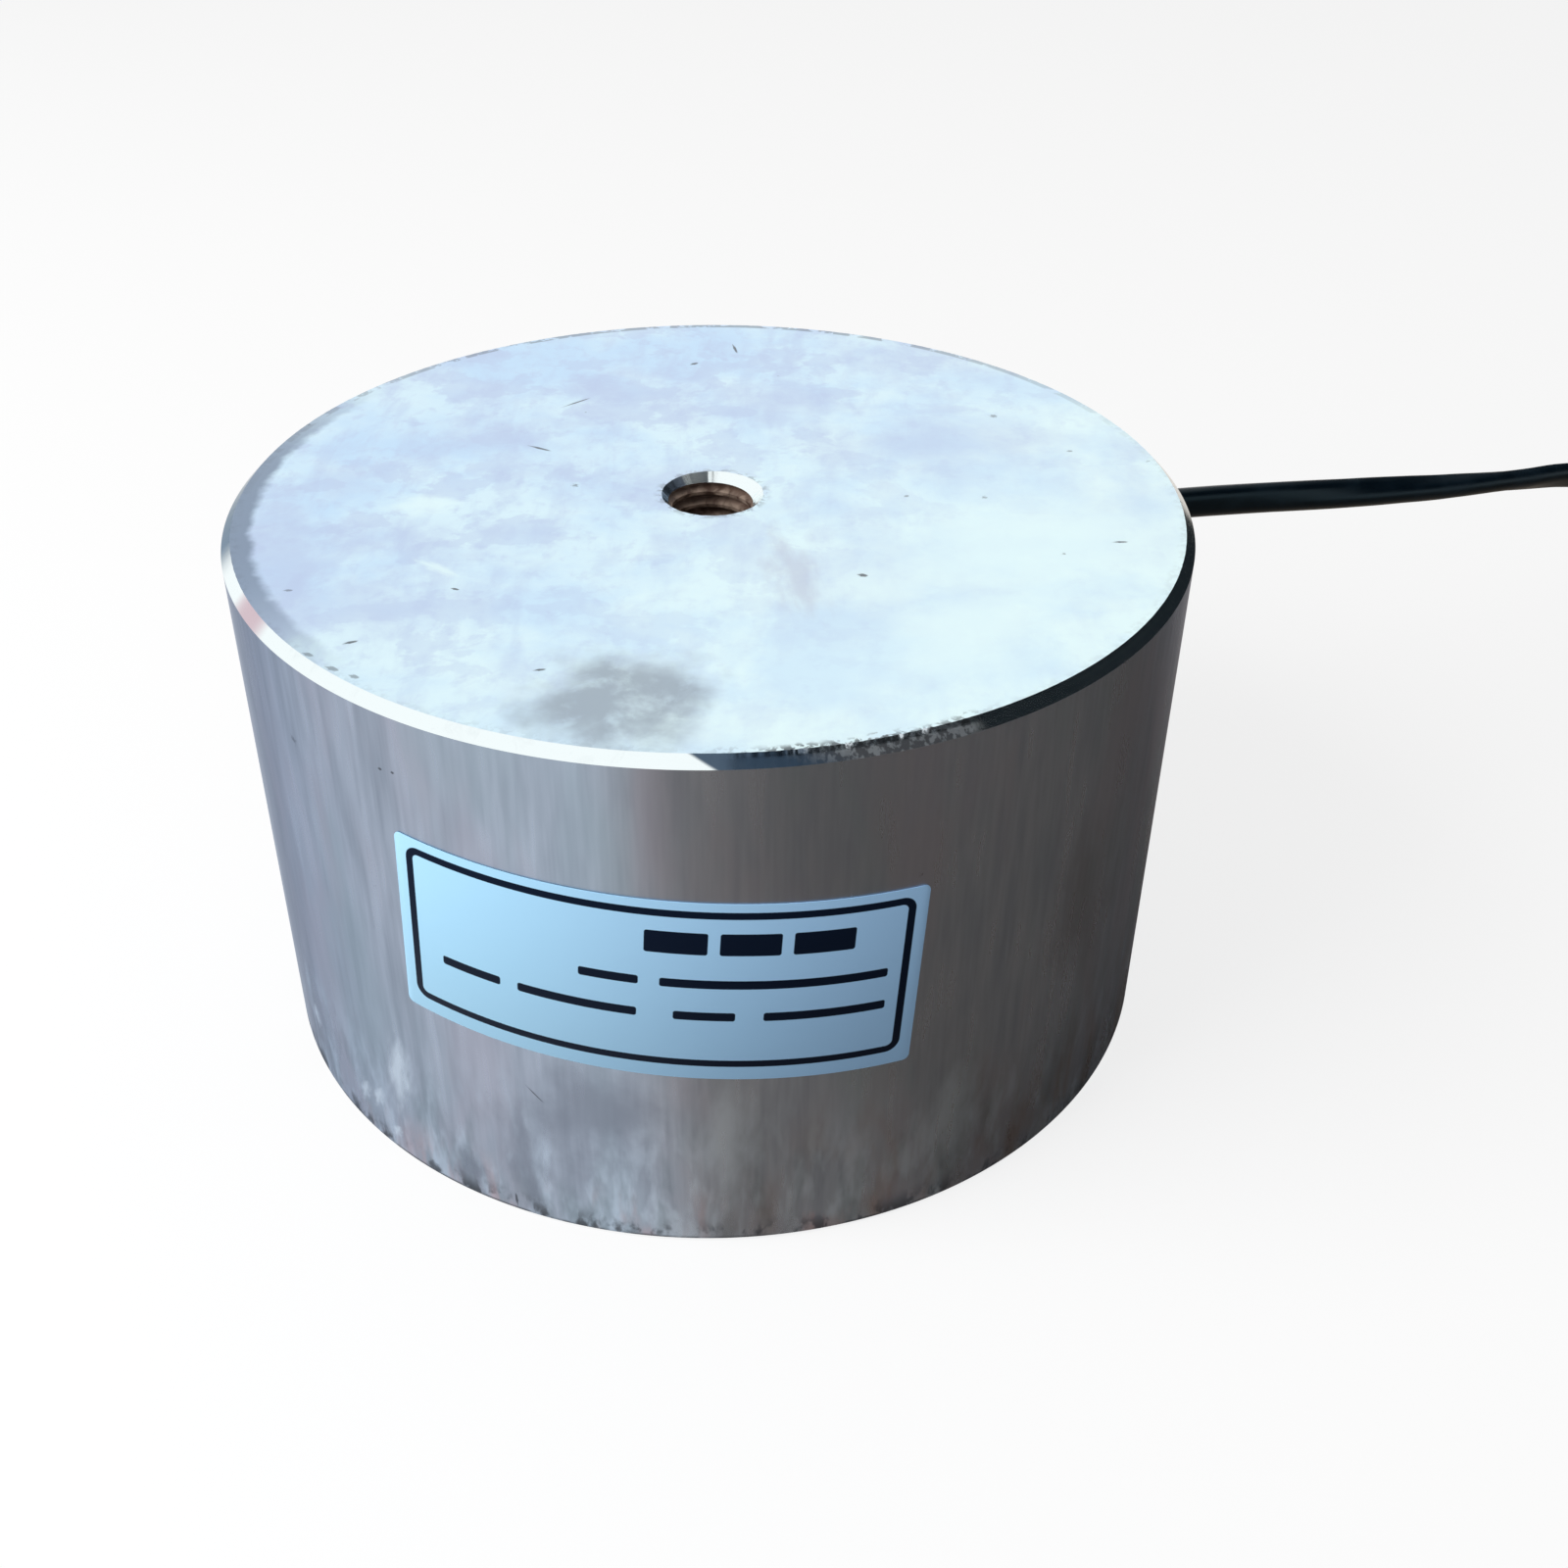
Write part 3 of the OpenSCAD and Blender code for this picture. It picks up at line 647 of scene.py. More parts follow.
def rusty_thread():
    """Unplated thread: brown rust, rubbed brighter on the crests."""
    material, bench, shader = new_material("rusty_thread")
    place = bench.millimetres()
    crest = bench.ease(bench.axis_distance(place), 5.75, 5.2)
    bloom = bench.patches(place, 0.45, low=0.35, high=0.7, warp=1.0)
    share = bench.times(bench.plus(bench.times(crest, 0.7), 0.3), bloom)
    colour = bench.blend(share, RUST_DARK, RUST_PALE)
    metal = bench.times(crest, 0.5)
    grain = bench.cloud(place, 5.0, detail=4.0)
    rough = bench.plus(0.38, bench.times(bloom, 0.3))
    dress(bench, shader, Base_Color=colour, Metallic=metal, Roughness=rough, Normal=bench.bump(grain, 0.03))
    return material


def ground_foot():
    """Holding face: ground bright in rings, with rubbed patches."""
    material, bench, shader = new_material("ground_foot")
    place = bench.millimetres()
    rings = bench.cloud(bench.join(bench.axis_distance(place), 0.0), 2.2, detail=4.0)
    patch = bench.patches(place, 0.08)
    colour = bench.blend(bench.ease(rings, 0.3, 0.7), STEEL_DARK, STEEL_RINGS)
    colour = bench.tint(colour, patch, 0.5, STEEL_DARK)
    rough = bench.plus(0.26, bench.times(patch, 0.12))
    dress(bench, shader, Base_Color=colour, Metallic=1.0, Roughness=rough, Normal=bench.bump(rings, 0.008))
    return material


# Label, plastics and inner pieces

INK = rgb(0.003, 0.008, 0.022)
FILM_LIT_BLUE = rgb(0.44, 0.76, 1.0)
FILM_SHADED_BLUE = rgb(0.41, 0.68, 1.0)
SHEATH_DEEP = rgb(0.001, 0.004, 0.008)
SHEATH_DUSTY = rgb(0.004, 0.010, 0.017)
SHEATH_SHEEN = rgb(0.4, 0.8, 1.0)
COPPER_DEEP = rgb(0.42, 0.16, 0.06)
COPPER_PALE = rgb(0.62, 0.28, 0.11)

# Printed bars: middle and half size in millimetres on the label
LABEL_BARS = [
    (2.6, 7.0, 3.4, 1.5), (10.6, 7.0, 3.3, 1.5), (18.6, 7.0, 3.4, 1.5),
    (-4.6, 1.4, 3.3, 0.6), (13.6, 1.4, 12.6, 0.6),
    (-20.8, -3.2, 3.7, 0.6), (-8.2, -3.2, 6.8, 0.6), (6.0, -3.2, 3.4, 0.6), (19.4, -3.2, 6.9, 0.6),
]
FRAME_HALF = (28.75, 11.0)
FRAME_RISE = 0.4
FRAME_LINE = 0.95
FRAME_CORNER = 1.7


def label_film():
    """Satin film with a printed frame and plain bars where the rating plate has its lines; its blue and its
    darkening to the right are painted light.
    """
    material, bench, shader = new_material("label_film")
    flat = bench.put("ShaderNodeUVMap", uv_map="label").outputs[0]
    place = bench.vector("MULTIPLY", bench.vector("SUBTRACT", flat, (0.5, 0.5, 0.0)),
                         (LABEL_W / MM, LABEL_W / MM, 0.0))
    # Painted light: the near-white film is coloured by painted cool light and darkens towards the right as
    # painted shade.
    film = bench.blend(bench.ease(bench.parts(place)[0], -30.0, 30.0), FILM_LIT_BLUE, FILM_SHADED_BLUE)
    wide, tall = FRAME_HALF
    middle = (0.0, FRAME_RISE, 0.0)
    outer = bench.use(PRINTED_BAR, {"Vector": place, "Place": middle, "Half": (wide, tall, 0.0),
                                    "Corner": FRAME_CORNER})
    inner = bench.use(PRINTED_BAR, {"Vector": place, "Place": middle, "Corner": FRAME_CORNER - FRAME_LINE,
                                    "Half": (wide - FRAME_LINE, tall - FRAME_LINE, 0.0)})
    print_mask = bench.less(outer, inner)
    for x, y, half_w, half_h in LABEL_BARS:
        bar = bench.use(PRINTED_BAR, {"Vector": place, "Place": (x, y, 0.0), "Half": (half_w, half_h, 0.0)})
        print_mask = bench.most(print_mask, bar)
    colour = bench.blend(print_mask, film, INK)
    ripple = bench.cloud(place, 0.25, detail=2.0)
    rough = bench.plus(0.4, bench.times(print_mask, 0.1))
    dress(bench, shader, Base_Color=colour, Roughness=rough, Specular_IOR_Level=0.06,
          Normal=bench.bump(ripple, 0.02))
    return material


def plastic(name, colour, deep, roughness, grain=6.0, depth=0.01, metallic=0.0):
    """Moulded or extruded material between two tones, with a fine grain."""
    material, bench, shader = new_material(name)
    place = bench.millimetres()
    given = {"Vector": place, "Scale": grain}
    tone = bench.use(MOULDED_GRAIN, given, "Tone")
    height = bench.use(MOULDED_GRAIN, given, "Height")
    rough = bench.plus(roughness - 0.05, bench.times(tone, 0.1))
    dress(bench, shader, Base_Color=bench.blend(tone, deep, colour), Roughness=rough, Metallic=metallic,
          Normal=bench.bump(height, depth))
    return material


def wound_copper():
    """Enamelled winding: layers of round wire, seen as fine ribs one above the other."""
    material, bench, shader = new_material("wound_copper")
    place = bench.millimetres()
    ribs = bench.put("ShaderNodeTexWave", {"Vector": place, "Scale": 0.35, "Distortion": 0.3},
                     wave_type="BANDS", bands_direction="Z").outputs["Fac"]
    tone = bench.patches(place, 0.1)
    colour = bench.blend(tone, COPPER_DEEP, COPPER_PALE)
    rough = bench.plus(0.25, bench.times(tone, 0.1))
    dress(bench, shader, Base_Color=colour, Metallic=0.8, Roughness=rough, Normal=bench.bump(ribs, 0.2))
    return material


def sheath_black():
    """Extruded sheath of the lead: satin blue-black with faint draw lines along it."""
    material, bench, shader = new_material("sheath_black")
    along = bench.put("ShaderNodeUVMap", uv_map="along").outputs[0]
    lines = bench.cloud(bench.vector("MULTIPLY", along, (14.0, 0.6, 1.0)), 1.0, detail=3.0)
    dust = bench.patches(bench.millimetres(), 0.12, low=0.4, high=0.75)
    colour = bench.blend(dust, SHEATH_DEEP, SHEATH_DUSTY)
    rough = bench.plus(0.33, bench.times(dust, 0.12))
    dress(bench, shader, Base_Color=colour, Roughness=rough, Specular_IOR_Level=0.22,
          Specular_Tint=SHEATH_SHEEN, Normal=bench.bump(lines, 0.02))
    return material


# Mesh making

MERGED = 0.001 * MM
THREAD_MERGED = 0.002 * MM
ON_PLANE = 0.0001 * MM


def face_out(bm):
    bmesh.ops.recalc_face_normals(bm, faces=bm.faces)


def spun(profile, steps):
    """A turned shape: radius and height points spun once round Z."""
    bm = bmesh.new()
    points = [bm.verts.new((r, 0, z)) for r, z in profile]
    edges = [bm.edges.new(pair) for pair in zip(points, points[1:])]
    bmesh.ops.spin(bm, geom=points + edges, cent=CLEAR, axis=(0, 0, 1), angle=tau, steps=steps,
                   use_merge=True)
    bmesh.ops.remove_doubles(bm, verts=bm.verts, dist=MERGED)
    face_out(bm)
    return bm


def break_edges(bm, width, least_angle=25, segments=2):
    """Rounds every edge sharper than an angle."""
    bm.normal_update()
    sharp = [e for e in bm.edges if len(e.link_faces) == 2 and e.calc_face_angle() > radians(least_angle)]
    bmesh.ops.bevel(bm, geom=sharp, offset=width, offset_type="OFFSET", affect="EDGES", segments=segments,
                    profile=0.5, material=-1, clamp_overlap=True)


def rounded_plate(width, height, corner, segments):
    """A flat plate with round corners about the origin."""
    bm = bmesh.new()
    bmesh.ops.create_grid(bm, x_segments=1, y_segments=1, size=0.5)
    bmesh.ops.scale(bm, vec=(width, height, 1), verts=bm.verts)
    bmesh.ops.bevel(bm, geom=bm.verts[:], offset=corner, offset_type="OFFSET", affect="VERTICES",
                    segments=segments, profile=0.5, material=-1)
    return bm


def lay_on_lead(bm):
    """Turns a shape that was spun round Z onto the axis of the lead's hole."""
    onto = Matrix.Translation((0, 0, LEAD_Z)) @ Matrix.Rotation(pi / 2, 4, "Y")
    bmesh.ops.transform(bm, matrix=onto, verts=bm.verts)


def bare_object(name, bm):
    mesh = bpy.data.meshes.new(name)
    bm.to_mesh(mesh)
    bm.free()
    thing = bpy.data.objects.new(name, mesh)
    bpy.context.scene.collection.objects.link(thing)
    return thing


def cut(body, tools):
    """Cuts closed tools out of a closed body: all are bmeshes, and the result is a new one."""
    work = bare_object("work", body)
    cutters = [bare_object("cutter", tool) for tool in tools]
    for cutter in cutters:
        step = work.modifiers.new("cut", "BOOLEAN")
        step.operation = "DIFFERENCE"
        step.solver = "EXACT"
        step.object = cutter
    bpy.context.view_layer.update()
    shaped = work.evaluated_get(bpy.context.evaluated_depsgraph_get())
    result = bmesh.new()
    result.from_mesh(shaped.to_mesh())
    shaped.to_mesh_clear()
    for thing in [work, *cutters]:
        mesh = thing.data
        bpy.data.objects.remove(thing)
        bpy.data.meshes.remove(mesh)
    return result


def finish_piece(name, bm, materials, replaced=(), sharp=35):
    """Makes the object, shades it, hangs it on the root body and hides the pieces that it stands for."""
    piece = bare_object(name, bm)
    for material in materials:
        piece.data.materials.append(material)
    piece.data.shade_smooth()
    piece.data.set_sharp_from_angle(angle=radians(sharp))
    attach(piece, "root")
    if replaced:
        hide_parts(*replaced)
    return piece


# Lead

def lead_knots():
    """The route's points and rolls: out of the wall, down to the floor, round the coil and to the end."""
    rise = LEAD_Z - LOW_Z
    knots = [(Vector((x, 0, LEAD_Z)), 90.0) for x in (LEAD_START, SLOT_R, BODY_R)]
    knots += [(Vector((BODY_R + d * MM, 0, LOW_Z + share * rise)), roll) for d, share, roll in LEAD_RUN]
    middle = Vector((COIL_X, -COIL_R, 0))
    for turn in range(COIL_FIRST, COIL_LAST - 1, -COIL_STEP):
        # The second layer is reached before the turn crosses over its own start
        climb = min(max((CLIMB_FIRST - turn) / CLIMB_TURN, 0), 1)
        z = LOW_Z + (HIGH_Z - LOW_Z) * climb * climb * (3 - 2 * climb)
        spot = Vector((COIL_R * cos(radians(turn)), COIL_R * sin(radians(turn)), z))
        knots.append((middle + spot, -90.0))
    floor_z = LEAD_T / 2
    for d, share, roll in TAIL_RUN:
        z = floor_z + share * (HIGH_Z - floor_z)
        knots.append((Vector((COIL_X - d * MM, -2 * COIL_R, z)), roll))
    return knots


def smooth_route(knots, pieces=5):
    """A smooth curve through the knots, with a few steps between each two."""
    route = []
    last = len(knots) - 1
    for i in range(last):
        a, b, c, d = (knots[min(max(k, 0), last)] for k in (i - 1, i, i + 1, i + 2))
        for s in range(pieces):
            t = s / pieces
            weights = (-t + 2 * t**2 - t**3, 2 - 5 * t**2 + 3 * t**3, t + 4 * t**2 - 3 * t**3,
                       t**3 - t**2)
            point = sum((w * k[0] for w, k in zip(weights, (a, b, c, d))), Vector()) / 2
            route.append((point, b[1] + (c[1] - b[1]) * t))
    route.append(knots[last])
    return route


def flat_outline(width, thick, end_steps=8):
    """Outline of the flat lead: two half rounds joined by flats."""
    half = (width - thick) / 2
    outline = []
    for side in (0, pi):
        for k in range(end_steps + 1):
            a = side - pi / 2 + pi * k / end_steps
            outline.append((half * cos(side) + thick / 2 * cos(a), thick / 2 * sin(a)))
    return outline


def round_outline(radius, steps=10):
    return [(radius * cos(tau * k / steps), radius * sin(tau * k / steps)) for k in range(steps)]


def swept(bm, route, outline, along=None):
    """Draws an outline along a route, rolled at each point from level, with closed ends."""
    loops = []
    count = len(outline)
    for i, (point, roll) in enumerate(route):
        before = route[max(i - 1, 0)][0]
        after = route[min(i + 1, len(route) - 1)][0]
        heading = (after - before).normalized()
        side = Vector((0, 0, 1)).cross(heading).normalized()
        up = heading.cross(side)
        turn = Matrix.Rotation(radians(roll), 2)
        spots = [turn @ Vector(spot) for spot in outline]
        loops.append([bm.verts.new(point + side * s.x + up * s.y) for s in spots])
    travelled = 0.0
    for i, (lower, upper) in enumerate(zip(loops, loops[1:])):
        step = (route[i + 1][0] - route[i][0]).length
        for k in range(count):
            n = (k + 1) % count
            face = bm.faces.new((lower[k], lower[n], upper[n], upper[k]))
            if along is not None:
                reached = travelled + step
                ends = ((k, travelled), (k + 1, travelled), (k + 1, reached), (k, reached))
                for loop, (u, v) in zip(face.loops, ends):
                    loop[along].uv = (u / count, v / UV_LENGTH)
        travelled += step
    bm.faces.new(list(reversed(loops[0])))
    bm.faces.new(loops[-1])


def make_lead():
    route = smooth_route(lead_knots())
    for point, roll in route:
        point.z = max(point.z, LEAD_T / 2 + CORE_OFF * abs(sin(radians(roll))))
    bm = bmesh.new()
    along = bm.loops.layers.uv.new("along")
    swept(bm, route, flat_outline(LEAD_W, LEAD_T), along)
    face_out(bm)
    solids = ("lead_flex", "lead_coil", "lead_tail")
    lead = finish_piece("lead", bm, [sheath_black()], solids, sharp=60)
    return lead, [point for point, _ in route]


def end_core_route(side):
    """A stripped core spreads from its fellow and settles on the floor."""
    start = Vector((COIL_X - TAIL_RUN[-1][0] * MM, -2 * COIL_R, LEAD_T / 2))
    knots = []
    for k in (0, 0.1, 0.35, 0.65, 0.9, 1):
        t = max(0, k - 0.1) / 0.9
        spread = t * t * (3 - 2 * t)
        aside = side * (CORE_OFF + 2 * MM * spread)
        knots.append((start + Vector((-k * STRIP_L, aside, -spread * (LEAD_T - CORE_D) / 2)), 0.0))
    return smooth_route(knots)


def make_end_core(name, side, material):
    bm = bmesh.new()
    swept(bm, end_core_route(side), round_outline(CORE_D / 2, 14))
    face_out(bm)
    return finish_piece("stripped_" + name, bm, [material], ("end_core_" + name,), sharp=50)


def make_end_strands(name, side, material):
    """Seven tinned strands laid up in a slight twist."""
    tip, before = [point for point, _ in end_core_route(side)][:-3:-1]
    heading = (tip - before).normalized()
    strand_r = STRAND_D / 6
    bm = bmesh.new()
    steps = 16
    for k in range(7):
        route = []
        for s in range(steps + 1):
            a = tau * k / 6 + STRAND_TWIST * tau * s / steps
            out = 0 if k == 6 else 2 * strand_r
            drop = Vector((0, out * cos(a), out * sin(a)))
            route.append((tip + heading * (STRAND_L * s / steps) + drop, 0.0))
        swept(bm, route, round_outline(strand_r, 8))
    face_out(bm)
    solids = ("end_strands_" + name,)
    return finish_piece("bared_" + name, bm, [material], solids, sharp=60)


def make_grommet(material):
    """Rubber bush: a neck in the wall, a flange on it, and a nose with three relief grooves."""
    flange_r = LEAD_HOLE_R + 1.6 * MM
    flange_x = BODY_R + 1.4 * MM
    nose_l = 9 * MM
    tip_r = LEAD_W / 2 + 0.6 * MM
    seat_x = BODY_R - 0.25 * MM
    neck_x = SLOT_R + 0.2 * MM
    profile = [(0, neck_x), (LEAD_HOLE_R, neck_x), (LEAD_HOLE_R, seat_x), (flange_r, seat_x),
               (flange_r, flange_x - 0.5 * MM), (flange_r - 0.5 * MM, flange_x), (LEAD_HOLE_R, flange_x)]
    groove = 0.22 * MM
    edge = 0.12 * MM
    fit = 0.2 * MM
    for k in range(3):
        for share, depth in ((0.22, 0), (0.26, 1), (0.34, 1), (0.38, 0)):
            t = share + 0.2 * k
            radius = LEAD_HOLE_R + (tip_r - LEAD_HOLE_R) * t - depth * groove
            profile.append((radius, flange_x + nose_l * t))
    profile += [(tip_r, flange_x + nose_l), (0, flange_x + nose_l)]
    bm = spun(profile, 64)
    break_edges(bm, edge)
    lay_on_lead(bm)
    bore = bmesh.new()
    spare = 5 * MM
    route = [(Vector((x, 0, LEAD_Z)), 90.0) for x in (neck_x - spare, flange_x + nose_l + spare)]
    swept(bore, route, flat_outline(LEAD_W + fit, LEAD_T + fit))
    face_out(bore)
    return finish_piece("bush", cut(bm, [bore]), [material], ("lead_grommet",))


def make_tie(material):
    """Strip wrapped once round both layers of the coil."""
    corner = 0.5 * MM
    edge = 0.08 * MM
    steps = 6
    bm = rounded_plate(TURN_W, 2 * TURN_H, corner, 5)
    bmesh.ops.delete(bm, geom=bm.faces[:], context="FACES_ONLY")
    ring = bm.edges[:]
    for _ in range(steps):
        grown = bmesh.ops.extrude_edge_only(bm, edges=ring)["geom"]
        ring = [e for e in grown if isinstance(e, bmesh.types.BMEdge)]
        moved = [v for v in grown if isinstance(v, bmesh.types.BMVert)]
        bmesh.ops.translate(bm, vec=(0, 0, TIE_W / steps), verts=moved)
    face_out(bm)
    bmesh.ops.solidify(bm, geom=bm.faces[:], thickness=-TIE_T)
    break_edges(bm, edge, least_angle=50)
    # Section x is the coil's radius, section y is height, and the strip's width follows the turn
    for v in bm.verts:
        radius = COIL_R + v.co.x
        turn = (v.co.z - TIE_W / 2) / COIL_R
        height = TIE_T + TURN_H + v.co.y
        v.co = Vector((COIL_X + radius * cos(turn), -COIL_R + radius * sin(turn), height))
    face_out(bm)
    return finish_piece("tie", bm, [material], ("lead_tie",))


# Steel pot

def thread_rod(low, high):
    """Core that the tap cuts out: a vee thread wound up Z and trimmed square at both ends."""
    flat = THREAD_PITCH / 4
    flank = (THREAD_PITCH - flat * 1.5) / 2
    start = low - 2 * THREAD_PITCH
    turns = ceil((high - start) / THREAD_PITCH) + 1
    bm = bmesh.new()
    points = []
    for k in range(turns):
        z = start + k * THREAD_PITCH
        points.append(bm.verts.new((DRILL_R, 0, z)))
        points.append(bm.verts.new((DRILL_R, 0, z + flat)))
        points.append(bm.verts.new((THREAD_R, 0, z + (flat + flank))))
        points.append(bm.verts.new((THREAD_R, 0, z + (flat * 1.5 + flank))))
    edges = [bm.edges.new(pair) for pair in zip(points, points[1:])]
    bmesh.ops.spin(bm, geom=points + edges, cent=CLEAR, axis=(0, 0, 1), angle=tau, steps=THREAD_STEPS,
                   dvec=(0, 0, THREAD_PITCH / THREAD_STEPS))
    bmesh.ops.remove_doubles(bm, verts=bm.verts, dist=THREAD_MERGED)
    for z, outward in ((low, -1), (high, 1)):
        everything = bm.verts[:] + bm.edges[:] + bm.faces[:]
        bmesh.ops.bisect_plane(bm, geom=everything, dist=ON_PLANE, plane_co=(0, 0, z),
                               plane_no=(0, 0, outward), clear_outer=True)
        rim = [e for e in bm.edges if e.is_boundary and all(abs(v.co.z - z) < MERGED for v in e.verts)]
        bmesh.ops.edgeloop_fill(bm, edges=rim)
    face_out(bm)
    return bm


def countersink():
    """Cone of the countersink, a little ragged where the cutter chattered."""
    depth = COUNTERSINK_R - DRILL_R
    above = 1 * MM
    bm = spun([(0, BODY_H - depth - DRILL_R), (COUNTERSINK_R + above, BODY_H + above),
               (0, BODY_H + above)], 2 * THREAD_STEPS)
    for v in bm.verts:
        if v.co.z > BODY_H:
            flat = Vector((v.co.x, v.co.y, 0))
            v.co += flat.normalized() * (noise.noise(flat / CHATTER_SIZE) * CHATTER_DEPTH)
    return bm


def drill():
    point = DRILL_R / tan(DRILL_ANGLE / 2)
    floor = BODY_H - THREAD_DEPTH
    return spun([(0, floor - point), (DRILL_R, floor), (DRILL_R, BODY_H - 2 * THREAD_PITCH),
                 (0, BODY_H - 2 * THREAD_PITCH)], THREAD_STEPS)


def lead_drill():
    """Drill for the lead's hole through the wall."""
    spare = 1 * MM
    bm = spun([(0, SLOT_R - spare), (LEAD_HOLE_R, SLOT_R - spare), (LEAD_HOLE_R, BODY_R + spare),
               (0, BODY_R + spare)], 64)
    lay_on_lead(bm)
    return bm


def nick_rim(bm):
    """Knocks small nicks into the chamfer's upper edge: many at the front, a little wear all round."""
    edge_r = BODY_R - RIM_CHAMFER
    for v in bm.verts:
        radius = v.co.to_2d().length
        if v.co.z < BODY_H - EDGE_REACH or abs(radius - edge_r) > EDGE_REACH:
            continue
        turn = atan2(v.co.y, v.co.x)
        front = max(0.0, 1 - abs(turn - NICK_TURN) / NICK_SPREAD)
        spot = Vector((cos(turn), sin(turn), 0.3)) * (BODY_R / NICK_SIZE)
        chip = max(0.0, noise.noise(spot) + 0.15)
        depth = chip * (WEAR_DEPTH + NICK_DEPTH * min(1.0, 2 * front))
        inward = Vector((-cos(turn), -sin(turn), -0.35))
        v.co += inward * depth


def pot_profile():
    """Half section of the pot before drilling, from the middle of the holding face to that of the back."""
    bed = 10 * MM
    edge = BODY_R - RIM_CHAMFER
    outer_ring = edge - 0.9 * MM
    inner_ring = edge - 1.0 * MM
    return [(0, 0), (POLE_R, 0), (POLE_R, SLOT_TOP), (SLOT_R, SLOT_TOP), (SLOT_R, 0),
            (BODY_R - FOOT_CHAMFER, 0), (BODY_R, FOOT_CHAMFER), (BODY_R, BODY_H - RIM_CHAMFER),
            (edge + WORN_EDGE, BODY_H - WORN_EDGE), (edge, BODY_H), (outer_ring, BODY_H),
            (inner_ring, BODY_H), (bed, BODY_H), (0, BODY_H)]


# Finishes of the pot, in the order of its material slots
WALL, TOP, EDGE, THREAD, FOOT = range(5)


def finish_of(face):
    """Which finish a face of the pot has."""
    middle = face.calc_center_median()
    radius = middle.to_2d().length
    below = BODY_H - middle.z
    if radius > COUNTERSINK_R and below < 0.2 * MM and face.normal.z > 0.9:
        return TOP
    if radius > BODY_R - RIM_CHAMFER - 0.5 * MM and below < RIM_CHAMFER + 0.02 * MM:
        return EDGE
    if radius < COUNTERSINK_R and below < COUNTERSINK_R - DRILL_R and 0.6 < face.normal.z < 0.8:
        return EDGE
    if radius < COUNTERSINK_R and middle.z > SLOT_TOP / 2:
        return THREAD
    if middle.z < FOOT_CHAMFER and face.normal.z < -0.5:
        return FOOT
    return WALL


def make_pot():
    bm = spun(pot_profile(), BODY_STEPS)
    break_edges(bm, EDGE_BREAK, least_angle=50)
    nick_rim(bm)
    tools = [thread_rod(BODY_H - THREAD_DEPTH, BODY_H + THREAD_PITCH), drill(), countersink(), lead_drill()]
    bm = cut(bm, tools)
    bm.normal_update()
    for face in bm.faces:
        face.material_index = finish_of(face)
    finishes = [brushed_wall(), ground_top(), bright_edge(), rusty_thread(), ground_foot()]
    return finish_piece("pot", bm, finishes, ("pot_yoke",), sharp=28)


# Label

def make_label():
    """Thin film with round corners, bent round the wall and set a little crooked."""
    bm = rounded_plate(LABEL_W, LABEL_H, LABEL_CORNER, 8)
    grown = bmesh.ops.extrude_face_region(bm, geom=bm.faces[:])["geom"]
    raised = [v for v in grown if isinstance(v, bmesh.types.BMVert)]
    bmesh.ops.translate(bm, vec=(0, 0, LABEL_T), verts=raised)
    for k in range(1, LABEL_CUTS):
        x = LABEL_W * (k / LABEL_CUTS - 0.5)
        everything = bm.verts[:] + bm.edges[:] + bm.faces[:]
        bmesh.ops.bisect_plane(bm, geom=everything, dist=ON_PLANE, plane_co=(x, 0, 0), plane_no=(1, 0, 0))
    face_out(bm)
    break_edges(bm, LABEL_EDGE, least_angle=60)
    flat = bm.loops.layers.uv.new("label")
    for face in bm.faces:
        for loop in face.loops:
            loop[flat].uv = (loop.vert.co.x / LABEL_W + 0.5, loop.vert.co.y / LABEL_W + 0.5)
    tilt = Matrix.Rotation(-LABEL_TILT, 3, "Z")
    for v in bm.verts:
        spot = tilt @ v.co
        turn = LABEL_TURN + spot.x / BODY_R
        radius = BODY_R + LABEL_GAP + v.co.z
        v.co = Vector((radius * cos(turn), radius * sin(turn), LABEL_Z + spot.y))
    face_out(bm)
    return finish_piece("rating_label", bm, [label_film()], ("name_label",))


# Inner pieces keep their solids

def dress_inside():
    copper = wound_copper()
    sleeve = plastic("shrunk_sleeve", rgb(0.035, 0.035, 0.04), rgb(0.02, 0.02, 0.024), 0.5)
    finishes = {
        "coil_bobbin": plastic("nylon_bobbin", rgb(0.82, 0.80, 0.72), rgb(0.74, 0.71, 0.62), 0.45),
        "coil_winding": copper,
        "winding_wrap": plastic("wrap_tape", rgb(0.82, 0.62, 0.14), rgb(0.72, 0.50, 0.08), 0.3, grain=2.0),
        "tail_start": copper,
        "tail_finish": copper,
        "splice_start": sleeve,
        "splice_finish": sleeve,
        "core_black": CORE_BLACK,
        "core_red": CORE_RED,
        "potting_resin": plastic("cast_resin", rgb(0.06, 0.054, 0.05), rgb(0.03, 0.027, 0.025), 0.32,
                                 grain=1.2, depth=0.03),
    }
    for node, material in finishes.items():
        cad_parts[node].material_slots[0].material = material


# Studio

FLOOR_HALF = 6.0
FLOOR_DROP = 0.05 * MM
FLOOR_GLOW = 0.79
FLOOR_COLOUR = rgb(0.2, 0.2, 0.2)
SKY_LEVEL = 0.38

# Cards that polished steel sees, by azimuth from the camera to the right
FLOOR_CARD_R = 1.5
FLOOR_CARD_STEPS = 144
FLOOR_CARD_WARM = rgb(1.0, 0.8, 0.62)
FLOOR_CARD_GAP = 0.05 * MM
FLOOR_CARD_LIFT = 0.02 * MM
# The floor card's white ends in a short fall and a long one: azimuths and share of each
SHORT_FALL = (radians(-23), radians(-4), 0.75)
LONG_FALL = (radians(-12), radians(20), 0.25)
# Close to the pot the white ends later: that turn, and the radius where it is gone
LATE_TURN = radians(12)
LATE_R = 0.14
